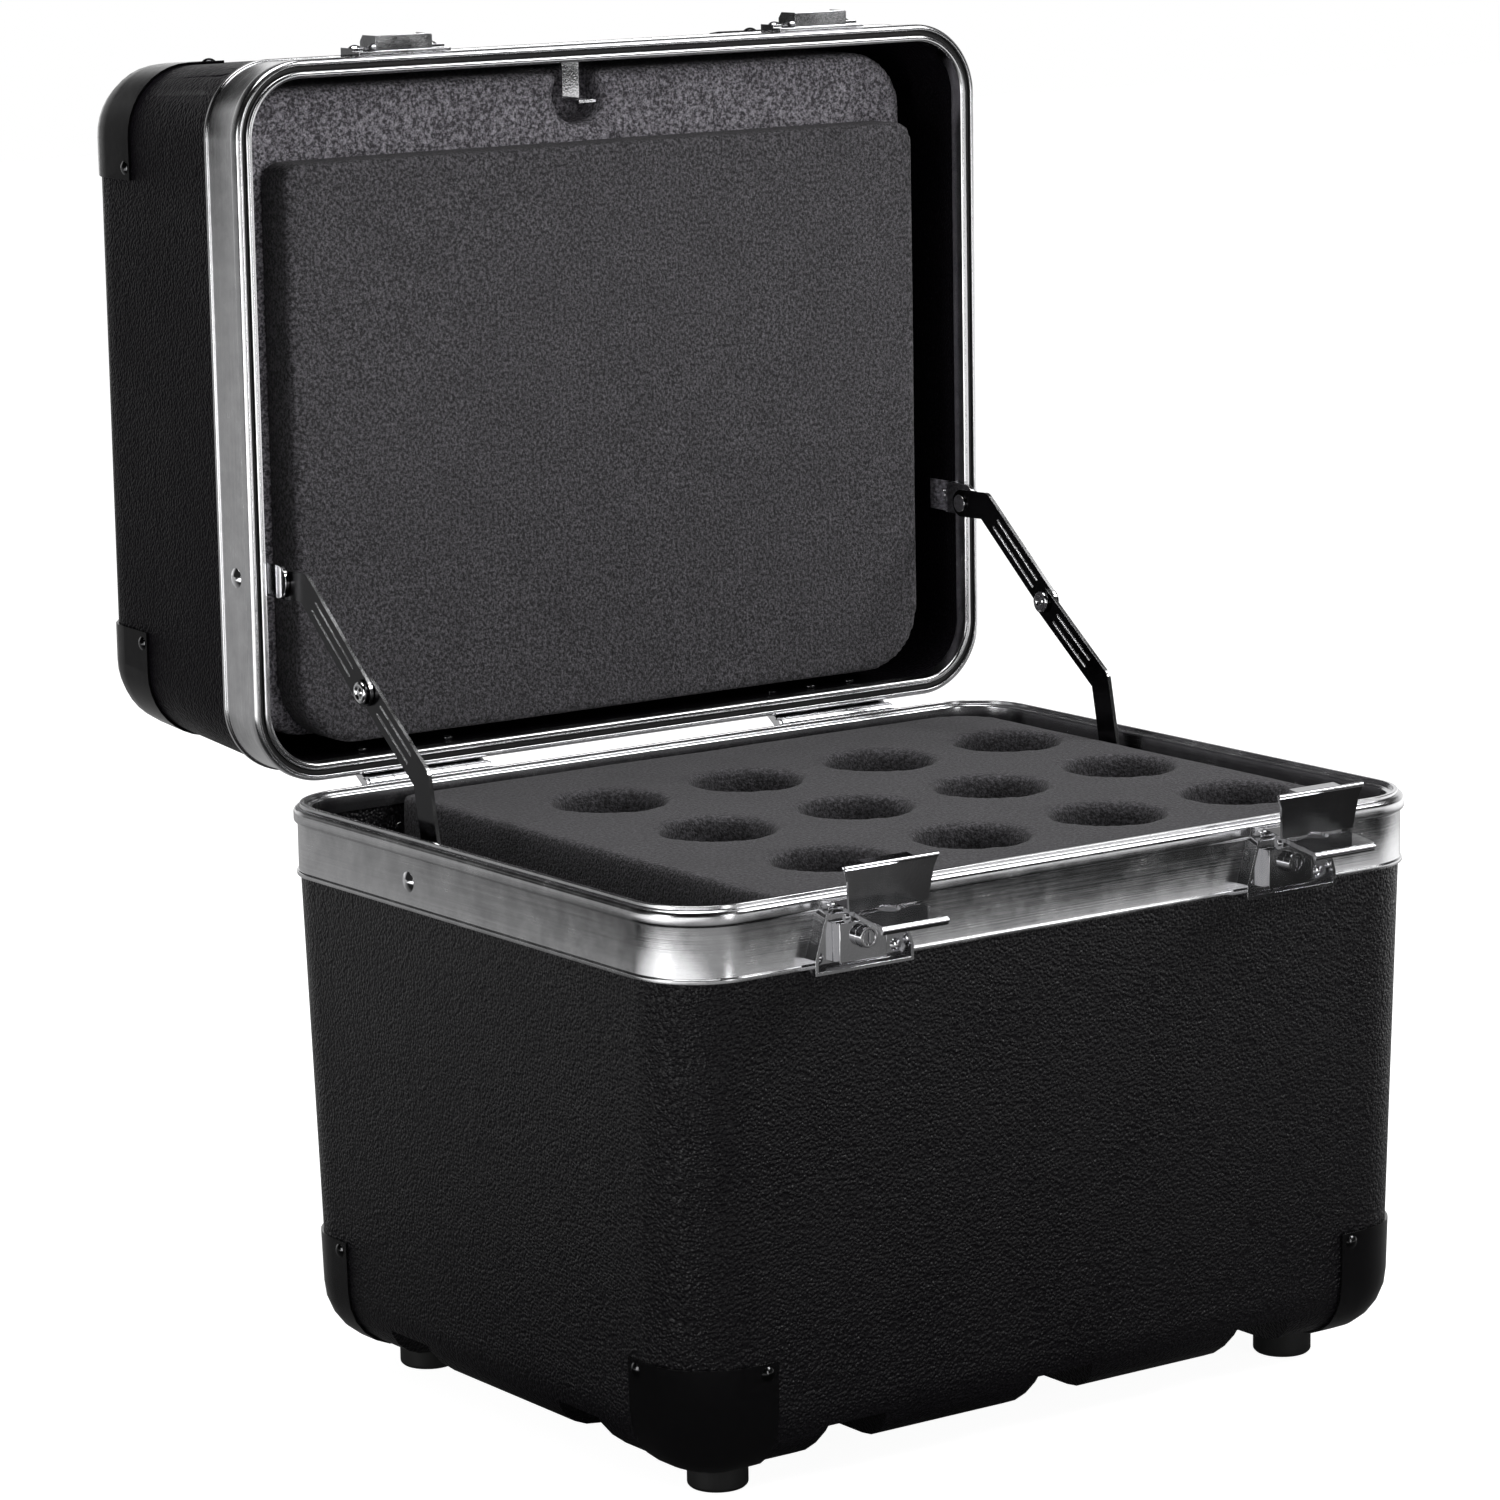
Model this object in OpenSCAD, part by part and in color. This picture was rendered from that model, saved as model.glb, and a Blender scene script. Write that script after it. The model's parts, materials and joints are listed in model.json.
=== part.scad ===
// Hinged transport case for upright microphones: a deep moulded base and a shallow moulded lid, each edged
// with an aluminium rim section, two draw latches with key locks, a pair of hinges, folding lid stays, and
// a foam block with round drops. Drawn with the lid open. Millimetres; the origin is on the floor under the
// middle of the open case, +X to the right, -Y towards the latches, +Z up.

/* [Case] */
// Width over the rim sections
case_w = 436; // [400:1:560]
// Depth over the rim sections, front to back
case_d = 344; // [330:1:460]
// Plan radius of the case corners
corner_r = 35; // [30:1:45]
// Height of the base, from its rim down to the underside of its shell
base_h = 263; // [235:1:340]
// Height of the lid, from its rim to the top of its shell
lid_h = 170; // [140:1:205]
// Angle that the lid stands open
lid_open = 90; // [80:1:95]

/* [Shells] */
// Wall thickness of the moulded shells
shell_t = 4; // [3:0.1:5]
// Draft of the base walls in degrees
base_draft = 1.3; // [0.5:0.1:1.5]
// Draft of the lid walls in degrees
lid_draft = 3.2; // [2:0.1:4]
// Radius along the bottom edges of the base and the top edges of the lid
edge_r = 29; // [20:1:30]
// Width of the channels moulded into the underside
channel_w = 32; // [24:1:36]
// Depth of those channels
channel_h = 17; // [8:0.5:18]
// Distance between the channels that run front to back
channel_pitch = 120; // [112:1:125]
// Distance from the middle to each short channel in the left and right sides
side_channel_y = 72; // [60:1:76]

/* [Rim sections] */
// Height of the flat face of each rim section
rim_h = 33; // [28:1:40]
// Thickness of the rim section's outer web
rim_t = 1.6; // [1.2:0.1:2]
// Width of the rim, from its outer face to its inner face
rim_w = 7; // [6.6:0.1:8]
// Height of the bead along the mating edge
bead_h = 7.4; // [6:0.1:9]
// Distance that the bead stands proud of the flat face
bead_out = 1.8; // [1:0.1:2]
// Gap between the two rims when the case is shut
rim_gap = 0.3; // [0.2:0.1:0.6]
// Height of the tongue on the base rim
tongue_h = 1.6; // [1.2:0.1:2]

/* [Corner guards] */
// Distance that a guard on the base covers each way from the corner
guard_span = 52; // [45:1:56]
// Distance that a guard on the lid covers each way from the corner
lid_guard_span = 60; // [45:1:64]
// Height of a guard
guard_h = 54; // [45:1:65]
// Thickness of a guard
guard_t = 1.4; // [1.2:0.1:2.4]

/* [Feet] */
// Diameter of the feet
foot_d = 28; // [20:1:30]
// Height of the feet below the shell
foot_h = 14.5; // [8:0.5:18]
// Distance from the middle to a foot, sideways
foot_x = 168; // [160:1:176]
// Distance from the middle to a foot, front to back
foot_y = 122; // [110:1:128]

/* [Foam] */
// Diameter of the microphone drops
drop_d = 54; // [40:1:60]
// Depth of the microphone drops
drop_depth = 190; // [120:1:200]
// Distance between drops, sideways
drop_pitch_x = 81; // [66:1:84]
// Distance between drops, front to back
drop_pitch_y = 90; // [66:1:94]
// Width of the open compartment to the left of the foam
side_bay = 59; // [30:1:64]
// Height of the floor pad under the foam block
floor_pad_h = 24; // [22:1:35]
// Depth of the lid foam's front face behind the lid rim
lid_pad_inset = 11; // [8:0.5:14]
// Thickness of the lid foam's front pad
lid_pad_t = 25; // [15:1:30]
// Thickness of the deep lid foam, in front of the hollow behind it
lid_block_t = 44; // [36:1:60]
// Width of the deep lid foam's edge, which reaches the lid's top round the hollow
lid_block_edge = 40; // [25:1:60]

/* [Hinges] */
// Distance from the middle to each hinge and each latch
fitting_x = 124; // [100:1:150]
// Width of a hinge
hinge_w = 70; // [50:1:80]
// Distance of the hinge axis behind the rim's flat face
hinge_out = 6.5; // [6:0.1:7.5]
// Radius of the hinge pin
hinge_pin_r = 2; // [1.5:0.1:2.2]

/* [Latches] */
// Width of the latch pan at its foot
pan_w = 54; // [48:1:60]
// Height of the latch pan
pan_h = 32.5; // [30:0.5:36]
// Length of the lever from its pivot to its tip
lever_len = 37; // [30:0.5:40]
// Width of the lever
lever_w = 36; // [30:0.5:38]
// Angle that the open lever droops below level
lever_droop = 9; // [0:1:15]
// Length of the claw from its pivot to the hook
claw_len = 24.5; // [23.5:0.1:26]
// Angle that the claw leans out when the latch is open
claw_lean = 7; // [3:1:12]

/* [Stays] */
// Width of the stay links
link_w = 14; // [10:0.5:15]
// Thickness of the stay links
link_t = 2; // [1.5:0.1:2.2]
// Radius of the stay's pivot pins
stay_pin_r = 2.5; // [2:0.1:3]

/* [Handle] */
// Distance between the handle's pivots
handle_w = 128; // [110:1:150]
// Reach of the handle from its pivots to the middle of its grip
handle_reach = 38; // [30:1:50]

/* [Hidden] */
$fn = 72;

// Colours, as the materials look
shell_black = "#1b1b1d";
gloss_black = "#0c0c0d";
aluminium = "#b9babd";
chrome = "#d6d7da";
dark_chrome = "#3c3d40";
foam_grey = "#3a383c";
rubber_black = "#161616";

// Clearances
pin_gap = 0.05;       // between a pin and its bore, on the radius
rivet_gap = 0.1;      // between a rivet's shank and its hole, on the radius
seat_gap = 0.3;       // between pieces that come near but don't bear
knuckle_gap = 0.4;    // between hinge knuckles

// Rim and shell section, measured inwards from the flat face
rim_z = foot_h + base_h;
shell_in = rim_t + 0.3;                 // outer face of a shell inside its rim section
shell_step = 0.9;                       // outer face of a shell below its rim section
wall_in = shell_in + shell_t - 0.8;     // inner face of a shell at the rim
inner_draft = 0.82;                     // share of the draft that the inner face has
channel_slope = 0.35;                   // run of a channel's side for each millimetre of its depth
side_channel_l = 50;
lip_t = 1.3;                            // inner web of the rim section
lip_h = 9;
inner_bead_w = 3.3;
cap_t = 1.8;
groove_out = 0.9;                       // groove in the lid rim, from outside the flat face
groove_in = rim_w - inner_bead_w;
groove_h = tongue_h + 1.7;
seal_t = 1.4;
foot_bead_h = 2;                        // small bead along the far edge of each rim section
foot_bead_out = 0.9;

// Hinge axis and the lid's turn about it
hinge_y = case_d / 2 + hinge_out;
knuckle_r = hinge_pin_r + 1.6;
leaf_t = 2;
leaf_h = 30;
knuckles = 5;
hinge_rivet_s = 21;

// Rivets: head radius, head height, shank radius
small_rivet = [3.2, 1.4, 1.6];
guard_rivet = [3.5, 1.5, 2];
stay_rivet = [5, 1.4, stay_pin_r];
tail_h = 1;

// Latch, in a plane across the front: out from the flat face, up from the rim
pan_t = 1.6;
pan_out = 8;
pan_top = -2;
latch_rivet_s = pan_h - pan_top - 6.5;
lever_pivot = [9, -4.5];
lever_reach = 12;                       // lever pivot to claw pivot
lever_t = 2;
latch_pin_r = 1.5;
ear_r = 3.4;
pan_ear_r = 2.9;
claw_t = 1.5;
claw_off = 3.3;                         // claw pivot to the back of the claw's plate
claw_foot = 3.4;                        // claw pivot to the lower edge of the plate
claw_ear_t = 1.3;
claw_top_w = 52;
claw_foot_w = 43;
hook_w = 27;
hook_t = 1.8;
claw_pivot = lever_pivot + lever_reach * [cos(lever_droop), -sin(lever_droop)];
shut_claw_pivot = lever_pivot - [0, lever_reach];
hook_z = shut_claw_pivot[1] + claw_len - hook_t;   // underside of the hook when shut
lock_z = lever_pivot[1] - 15.5;
lock_r = 4.8;
plug_r = 3.2;
lock_out = 11.3;
housing_out = 6.9;

// Keeper, in the same plane with the case shut
keeper_w = 52;
keeper_out = bead_out + 0.3;
keeper_z = 2;
keeper_h = 17;
keeper_rivet_s = keeper_z + keeper_h - 5.5;
block_w = 32;
block_out = 11;
ridge_z = hook_z - seat_gap;

// Stay pivots: distance back from the middle, height above the rim
stay_b = [48.1, -19.6];                 // on the base
stay_m = [103, 61];                     // elbow, with the lid open
stay_l_shut = [74.5, -4.5];             // on the lid, with the case shut
stay_lid_rivet = [72.9, 18.2];
stay_l = turned(stay_l_shut);
lower_bend = [57.3, 26];
upper_bend = [154.5, 104.6];
upper_w0 = 11.8;                        // the links' places, in from the flat face
upper_w1 = upper_w0 + link_t;
lower_w0 = upper_w1 + 0.4;
lower_w1 = lower_w0 + link_t;
bracket_t = 2;
lid_stay_in = inner(lip_h + 20, lid_draft) + 0.1;

// Foam
foam_top = 3;                           // below the rim
foam_left = -case_w / 2 + rim_w + side_bay;
foam_right = case_w / 2 - 19;
foam_half_d = case_d / 2 - 11;
drop_cols = 4;
drop_rows = 3;
drop_mid_x = foam_right - 38 - (drop_cols - 1) / 2 * drop_pitch_x;
drop_mid_y = -8;
foam_bottom = base_h - shell_t - floor_pad_h - 0.6;
pad_w = case_w - 60;
pad_d = case_d - 60;
pad_y = 18;                             // towards the hinges from the middle of the lid
pad_front_r = 9;
pad_back_r = 32;
pocket_r = 15;                          // pocket in the lid foam for the catch
catch_y = -case_d / 2 + 25.5;
catch_s = 52;                           // depth of the catch's rivets in the lid
catch_t = 1.5;
catch_w = 10;
catch_wall = inner(catch_s + 6, lid_draft) + 0.1;

// Handle, on top of the lid
handle_y = -18;                         // pivot line, from the middle of the lid
handle_up = 9;                          // pivot line above the lid
bar_r = 4;
grip_r = 8;

// Middle of the base, forward of the origin: the open lid reaches further back than the latches do forward
back_y = hinge_y + lid_h + handle_up + grip_r;
front_y = -case_d / 2 - lever_pivot[0] - lever_len * cos(lever_droop) - 1;
base_y = -(back_y + front_y) / 2;

// A point of the lid when shut, as [y, z above the rim], where the open lid carries it
function turned(p) = [
  hinge_y + (p[0] - hinge_y) * cos(lid_open) + p[1] * sin(lid_open),
  -(p[0] - hinge_y) * sin(lid_open) + p[1] * cos(lid_open)
];
// Insets of a drafted wall's outer and inner faces at a depth from the rim
function inset(s, draft) = shell_step + max(0, s - rim_h - seat_gap) * tan(draft);
function inner(s, draft) = wall_in + s * tan(draft * inner_draft);
// Grip of a rivet through the wall, with a little spare at the tail's edge
function wall_grip(s, draft) = inner(s + 4, draft) + 0.1;
// Depth and grip of the rivets near the far edge of each guard
function guard_rivet_depth(depth) = depth - guard_h + 5;
function guard_grip(depth, draft) =
  guard_t + wall_grip(guard_rivet_depth(depth), draft) - inset(guard_rivet_depth(depth), draft);

// ---- Shared shapes ----

module rounded_rect(w, d, r) {
  square([w - 2 * r, d], center = true);
  square([w, d - 2 * r], center = true);
  for (sx = [-1, 1], sy = [-1, 1])
    translate([sx * (w / 2 - r), sy * (d / 2 - r)]) circle(r);
}

// Sweeps a section round the case: its x is outwards from the flat face, its y is up
module around_rim() {
  straight_x = case_w - 2 * corner_r;
  straight_y = case_d - 2 * corner_r;
  for (side = [0, 1])
    rotate([0, 0, 180 * side]) {
      translate([case_w / 2 - corner_r, case_d / 2 - corner_r, 0])
        rotate_extrude(angle = 90) translate([corner_r, 0]) children();
      translate([-case_w / 2 + corner_r, case_d / 2 - corner_r, 0])
        rotate([0, 0, 90]) rotate_extrude(angle = 90) translate([corner_r, 0]) children();
      translate([0, case_d / 2, 0])
        rotate([90, 0, 90]) linear_extrude(straight_x, center = true) children();
      translate([-case_w / 2, 0, 0])
        rotate([90, 0, 180]) linear_extrude(straight_y, center = true) children();
    }
}

// A drafted tub hanging below z = 0 with rounded lower edges, grown outwards all round
module tub_form(in, depth, draft, radius, grow = 0) {
  plan_r = corner_r - in;
  straight = depth - radius;
  hull() {
    slice(in, 0, plan_r, grow, 0);
    for (a = [0 : 15 : 90])
      slice(in + straight * tan(draft) + radius * (1 - cos(a)), straight + radius * sin(a),
            max(plan_r - radius * (1 - cos(a)), 3), grow * cos(a), grow * sin(a));
  }
}

module slice(in, s, r, grow_out, grow_down) {
  w = case_w - 2 * in + 2 * grow_out;
  d = case_d - 2 * in + 2 * grow_out;
  translate([0, 0, -s - grow_down]) linear_extrude(0.01) rounded_rect(w, d, r + grow_out, $fn = 40);
}

// A moulded shell below z = 0; channels are cut from outside, with their walls kept inside
module moulded_shell(depth, draft, top, channelled) {
  difference() {
    union() {
      translate([0, 0, -rim_h - seat_gap])
        tub_form(shell_step, depth - rim_h - seat_gap, draft, edge_r);
      translate([0, 0, -rim_h - 12]) linear_extrude(rim_h + 12 - top)
        rounded_rect(case_w - 2 * shell_in, case_d - 2 * shell_in, corner_r - shell_in);
    }
    if (channelled) channels();
    difference() {
      translate([0, 0, 1])
        tub_form(wall_in, depth - shell_t + 1, draft * inner_draft, edge_r - shell_t);
      if (channelled) channels(shell_t);
    }
  }
}

// The channels under the base, grown by a wall thickness for its inside face
module channels(grow = 0) {
  for (i = [-1, 0, 1])
    translate([i * channel_pitch, 0, -base_h])
      rotate([90, 0, 0]) linear_extrude(case_d + 20, center = true) channel_section(grow);
  for (sx = [-1, 1], sy = [-1, 1])
    translate([sx * case_w / 2, sy * side_channel_y, -base_h])
      rotate([90, 0, 90]) linear_extrude(2 * (side_channel_l + grow), center = true)
        channel_section(grow);
}

module channel_section(grow) {
  depth = channel_h + grow;
  half_top = channel_w / 2 + grow;
  half_foot = half_top + (depth + 1) * channel_slope;
  polygon([[-half_top, depth], [half_top, depth], [half_foot, -1], [-half_foot, -1]]);
}

module rivet(size, grip) {
  ball_r = (size[0] * size[0] + size[1] * size[1]) / (2 * size[1]);
  intersection() {
    translate([0, 0, size[1] - ball_r]) sphere(ball_r);
    cylinder(h = size[1], r = size[0]);
  }
  translate([0, 0, -grip]) cylinder(h = grip, r = size[2]);
  translate([0, 0, -grip - tail_h]) cylinder(h = tail_h, r = size[2] + 1.2);
}

module rivet_hole(size) cylinder(h = 60, r = size[2] + rivet_gap, center = true);

// Places of children on the four faces of a tub: the face's turn, the way along it and the depth
module on_face(turn, along, s, in, draft) {
  half = (turn % 180 == 0 ? case_w : case_d) / 2;
  rotate([0, 0, turn]) translate([half - in, along, -s]) rotate([0, 90 + draft, 0]) children();
}

module at_guard_rivets(depth, draft, span) {
  s = guard_rivet_depth(depth);
  in = inset(s, draft) - guard_t;
  reach = span - 6;
  for (turn = [0, 90, 180, 270], side = [-1, 1])
    on_face(turn, side * ((turn % 180 == 0 ? case_d : case_w) / 2 - reach), s, in, draft) children();
}

module corner_guard(sx, sy, depth, draft, span) {
  cut = [sx * (case_w / 2 - span + 100), sy * (case_d / 2 - span + 100)];
  difference() {
    intersection() {
      translate([0, 0, -rim_h - seat_gap])
        tub_form(shell_step, depth - rim_h - seat_gap, draft, edge_r, guard_t);
      translate([cut[0], cut[1], -depth + guard_h - 100])
        linear_extrude(200, center = true) rounded_rect(200, 200, 8);
    }
    translate([0, 0, -rim_h - seat_gap])
      tub_form(shell_step, depth - rim_h - seat_gap, draft, edge_r, 0.02);
    at_guard_rivets(depth, draft, span) rivet_hole(guard_rivet);
    translate([sx * foot_x, sy * foot_y, -depth - 5]) cylinder(h = 30, r = foot_d / 2 + seat_gap);
  }
}

// ---- Frames ----

module base_frame() translate([0, base_y, rim_z]) children();
// Lid pieces are drawn shut, above z = 0 at the rim, and carried to the open lid
module lid_frame()
  translate([0, base_y + hinge_y, rim_z]) rotate([-lid_open, 0, 0]) translate([0, -hinge_y, 0]) children();
// Lid pieces that share a base piece's shape are drawn hanging, then turned over
module hanging_lid() lid_frame() mirror([0, 0, 1]) children();
// Across the front or the back: the section's x is outwards from the flat face, its y is up
module front_section(x) translate([x, -case_d / 2, 0]) rotate([90, 0, -90]) children();
module back_section(x) translate([x, case_d / 2, 0]) rotate([90, 0, 90]) children();
// Slabs and pins on the side walls, placed by their way in from the right flat face
module slab(w0, w1)
  translate([case_w / 2 - w1, 0, 0]) rotate([90, 0, 90]) linear_extrude(w1 - w0) children();
module cross_pin(p, w0, w1, r)
  translate([case_w / 2 - w1, p[0], p[1]]) rotate([0, 90, 0]) cylinder(h = w1 - w0, r = r);
module side(s) mirror([s < 0 ? 1 : 0, 0, 0]) children();

// A straight strap between two points with round ends
module strap(p, q, w) {
  along = q - p;
  translate(p) rotate(atan2(along[1], along[0])) {
    translate([0, -w / 2]) square([norm(along), w]);
    circle(w / 2);
    translate([norm(along), 0]) circle(w / 2);
  }
}

// ---- Base ----

module base_shell() color(shell_black) base_frame() difference() {
  moulded_shell(base_h, base_draft, cap_t + 0.2, true);
  at_guard_rivets(base_h, base_draft, guard_span) rivet_hole(guard_rivet);
  at_latch_rivets() rivet_hole(small_rivet);
  at_hinge_rivets() rivet_hole(small_rivet);
  for (s = [-1, 1]) side(s) cross_pin(stay_b, -5, 20, stay_pin_r + rivet_gap);
}

module rim_holes() {
  at_latch_rivets() rivet_hole(small_rivet);
  at_hinge_rivets() rivet_hole(small_rivet);
  for (s = [-1, 1]) side(s) cross_pin(stay_b, -5, 20, stay_pin_r + rivet_gap);
}

module base_rim() color(aluminium) base_frame() difference() {
  around_rim() {
    translate([-rim_t, -rim_h]) square([rim_t, rim_h]);
    translate([-0.1, -bead_h]) square([bead_out - 0.6, bead_h]);
    for (v = [-bead_h + 1.2, -1.2]) translate([bead_out - 1.2, v]) circle(1.2, $fn = 24);
    translate([bead_out - 1, -bead_h + 1.2]) square([1, bead_h - 2.4]);
    translate([-0.1, -rim_h]) square([foot_bead_out + 0.1, foot_bead_h]);
    translate([-rim_w, -cap_t]) square([rim_w, cap_t]);
    translate([-rim_w, -lip_h]) square([lip_t, lip_h]);
    translate([groove_out - 0.5 - 3.4, -0.5]) square([3.4, tongue_h + 0.5]);
    translate([-rim_w + inner_bead_w / 2 - 0.2, -0.6])
      intersection() {
        circle(inner_bead_w / 2 - 0.2, $fn = 32);
        translate([-5, -2]) square([10, 2.5]);
      }
  }
  rim_holes();
}

module base_corner(sx, sy) color(gloss_black) base_frame()
  corner_guard(sx, sy, base_h, base_draft, guard_span);

module base_corner_rivets() color(chrome) base_frame()
  at_guard_rivets(base_h, base_draft, guard_span) rivet(guard_rivet, guard_grip(base_h, base_draft));

module feet() color(rubber_black)
  for (sx = [-1, 1], sy = [-1, 1])
    translate([sx * foot_x, base_y + sy * foot_y, 0]) rotate_extrude()
      polygon([[4, 0], [foot_d / 2 - 1.5, 0], [foot_d / 2, 1.5], [foot_d / 2, foot_h - 0.02],
               [0, foot_h - 0.02], [0, 4], [4, 4]]);

module floor_pad() color(foam_grey) base_frame() {
  in = inner(base_h, base_draft) + edge_r - shell_t;
  difference() {
    translate([0, 0, -base_h + shell_t + 0.3]) linear_extrude(floor_pad_h)
      rounded_rect(case_w - 2 * in, case_d - 2 * in, 20);
    channels(shell_t + 0.3);
  }
}

module mic_foam() color(foam_grey) base_frame() difference() {
  w = foam_right - foam_left;
  translate([(foam_left + foam_right) / 2, 0, -foam_bottom]) linear_extrude(foam_bottom - foam_top) {
    rounded_rect(w, 2 * foam_half_d, corner_r - 12);
    translate([-w / 4, 0]) rounded_rect(w / 2, 2 * foam_half_d, 4);
  }
  for (i = [0 : drop_cols - 1], j = [0 : drop_rows - 1])
    translate([drop_mid_x + (i - (drop_cols - 1) / 2) * drop_pitch_x,
               drop_mid_y + (j - (drop_rows - 1) / 2) * drop_pitch_y, -foam_top - drop_depth])
      cylinder(h = drop_depth + 1, r = drop_d / 2);
}

// ---- Latches ----

module at_latch_rivets()
  for (x = [-fitting_x, fitting_x], side = [-1, 1])
    translate([x + side * (pan_w / 2 - 5.5), -case_d / 2 - pan_t, -latch_rivet_s])
      rotate([90, 0, 0]) children();

module pan_outline(in) {
  top = lever_w / 2 + 2 - in;
  foot = pan_w / 2 - in;
  polygon([[-foot, pan_top - pan_h + in], [foot, pan_top - pan_h + in], [foot, pan_top - pan_h + 7],
           [top, pan_top - 3], [top, pan_top], [-top, pan_top], [-top, pan_top - 3],
           [-foot, pan_top - pan_h + 7]]);
}

// A pressed pan, open at the front and top, whose two ears carry the lever's pin
module latch_pan(x) color(chrome) base_frame() difference() {
  union() {
    translate([x, -case_d / 2, 0]) rotate([90, 0, 0]) difference() {
      linear_extrude(pan_out) pan_outline(0);
      translate([0, 0, pan_t]) linear_extrude(pan_out) pan_outline(pan_t);
      translate([-lever_w / 2 - 0.4, pan_top - 6, pan_t]) cube([lever_w + 0.8, 20, pan_out]);
    }
    for (s = [-1, 1]) front_section(x + s * (lever_w / 2 + 0.4 + pan_t / 2))
      linear_extrude(pan_t, center = true) {
        translate([0.2, lever_pivot[1] - pan_ear_r]) square([lever_pivot[0] - 0.2, 2 * pan_ear_r]);
        translate(lever_pivot) circle(pan_ear_r);
      }
  }
  front_section(x) linear_extrude(pan_w + 10, center = true)
    translate([-1, -bead_h - 0.3]) square([1 + bead_out + 0.2, bead_h + 5]);
  front_section(x) linear_extrude(pan_w + 10, center = true)
    translate([-1, -rim_h - 1]) square([1 + foot_bead_out + 0.1, foot_bead_h + 1.2]);
  front_section(x) translate([lever_pivot[0], lever_pivot[1], 0])
    cylinder(h = pan_w, r = latch_pin_r + pin_gap, center = true);
  at_latch_rivets() rivet_hole(small_rivet);
}

module latch_rivets() color(chrome) base_frame()
  at_latch_rivets() rivet(small_rivet, pan_t + wall_grip(latch_rivet_s, base_draft));

module latch_pin(x) color(chrome) base_frame()
  front_section(x) translate([lever_pivot[0], lever_pivot[1], 0]) {
    cylinder(h = lever_w + 2 * pan_t + 3.4, r = latch_pin_r, center = true);
    for (s = [-1, 1]) translate([0, 0, s * (lever_w / 2 + 0.4 + pan_t + 1.4)])
      cylinder(h = 1.1, r = latch_pin_r + 1, center = true);
  }

// A plate that hooks under the thumb, with a barrel on its pin and a stub each side for the claw
module lever(x) color(chrome) base_frame() front_section(x)
  translate(lever_pivot) rotate(-lever_droop) difference() {
    union() {
      linear_extrude(lever_w, center = true) {
        circle(ear_r - 0.6);
        translate([0, ear_r - 0.6 - lever_t]) square([lever_len - 1, lever_t]);
        translate([lever_len - 1, ear_r - 0.6 - lever_t + 0.2]) circle(lever_t / 2 + 0.2);
        translate([lever_len - 1.9, ear_r - 0.6 - lever_t - 1.6]) square([1.6, 2]);
      }
      for (s = [-1, 1]) translate([lever_reach, 0, s * (lever_w / 2 - 1)]) {
        cylinder(h = 2, r = ear_r - 0.6, center = true);
        cylinder(h = 7.4, r = latch_pin_r, center = true);
      }
    }
    cylinder(h = lever_w + 10, r = latch_pin_r + pin_gap, center = true);
    translate([15.5, 0, 0]) rotate([90, 0, 0]) cylinder(h = 20, r = lock_r + 0.9, center = true);
  }

// The claw leans out on the lever's stubs; its hooked top edge pulls the keeper down
module claw(x) color(chrome) base_frame() front_section(x)
  translate(claw_pivot) rotate(-claw_lean) difference() {
    union() {
      translate([claw_off, 0, 0]) rotate([0, 90, 0]) linear_extrude(claw_t)
        for (turn = [0, 1]) mirror([turn, 0])
          polygon([[0, claw_foot], [claw_foot_w / 2, claw_foot], [claw_foot_w / 2 + 2, claw_len - 6],
                   [claw_top_w / 2, claw_len], [0, claw_len]]);
      linear_extrude(hook_w, center = true) {
        translate([-2.6, claw_len - hook_t]) square([claw_off + 2.7, hook_t]);
        translate([-2.6, claw_len - hook_t - 1.2]) square([1.5, 1.3]);
      }
      linear_extrude(claw_top_w - 1, center = true)
        translate([claw_off + claw_t / 2 + 0.2, claw_len - 0.6]) circle(1.1, $fn = 24);
      for (s = [-1, 1]) translate([0, 0, s * (lever_w / 2 + seat_gap + claw_ear_t / 2)])
        linear_extrude(claw_ear_t, center = true) {
          circle(ear_r - 0.4);
          polygon([[0, 3], [0, -3], [claw_off + 0.2, -1], [claw_off + 0.2, 7.5]]);
        }
    }
    cylinder(h = lever_w + 10, r = latch_pin_r + pin_gap, center = true);
  }

module lock_body(x) color(chrome) base_frame() difference() {
  translate([x, -case_d / 2 - pan_t, lock_z]) rotate([90, 0, 0]) {
    cylinder(h = lock_out - pan_t, r = lock_r);
    translate([-13, -11, 0]) cube([26, 18, housing_out - pan_t]);
  }
  translate([x, -case_d / 2, lock_z]) rotate([90, 0, 0])
    translate([0, 0, pan_t + 1]) cylinder(h = 20, r = plug_r + pin_gap);
}

module lock_plug(x) color(chrome) base_frame()
  translate([x, -case_d / 2 - pan_t - 1, lock_z]) rotate([90, 0, 0]) difference() {
    cylinder(h = lock_out - pan_t - 1.4, r = plug_r);
    translate([-0.5, -2.1, lock_out - pan_t - 4]) cube([1, 4.2, 5]);
  }

// ---- Hinges ----

module at_hinge_rivets()
  for (x = [-fitting_x, fitting_x], i = [-1, 0, 1])
    translate([x + i * (hinge_w / 2 - 10), case_d / 2 + leaf_t, -hinge_rivet_s])
      rotate([-90, 0, 0]) children();

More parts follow.
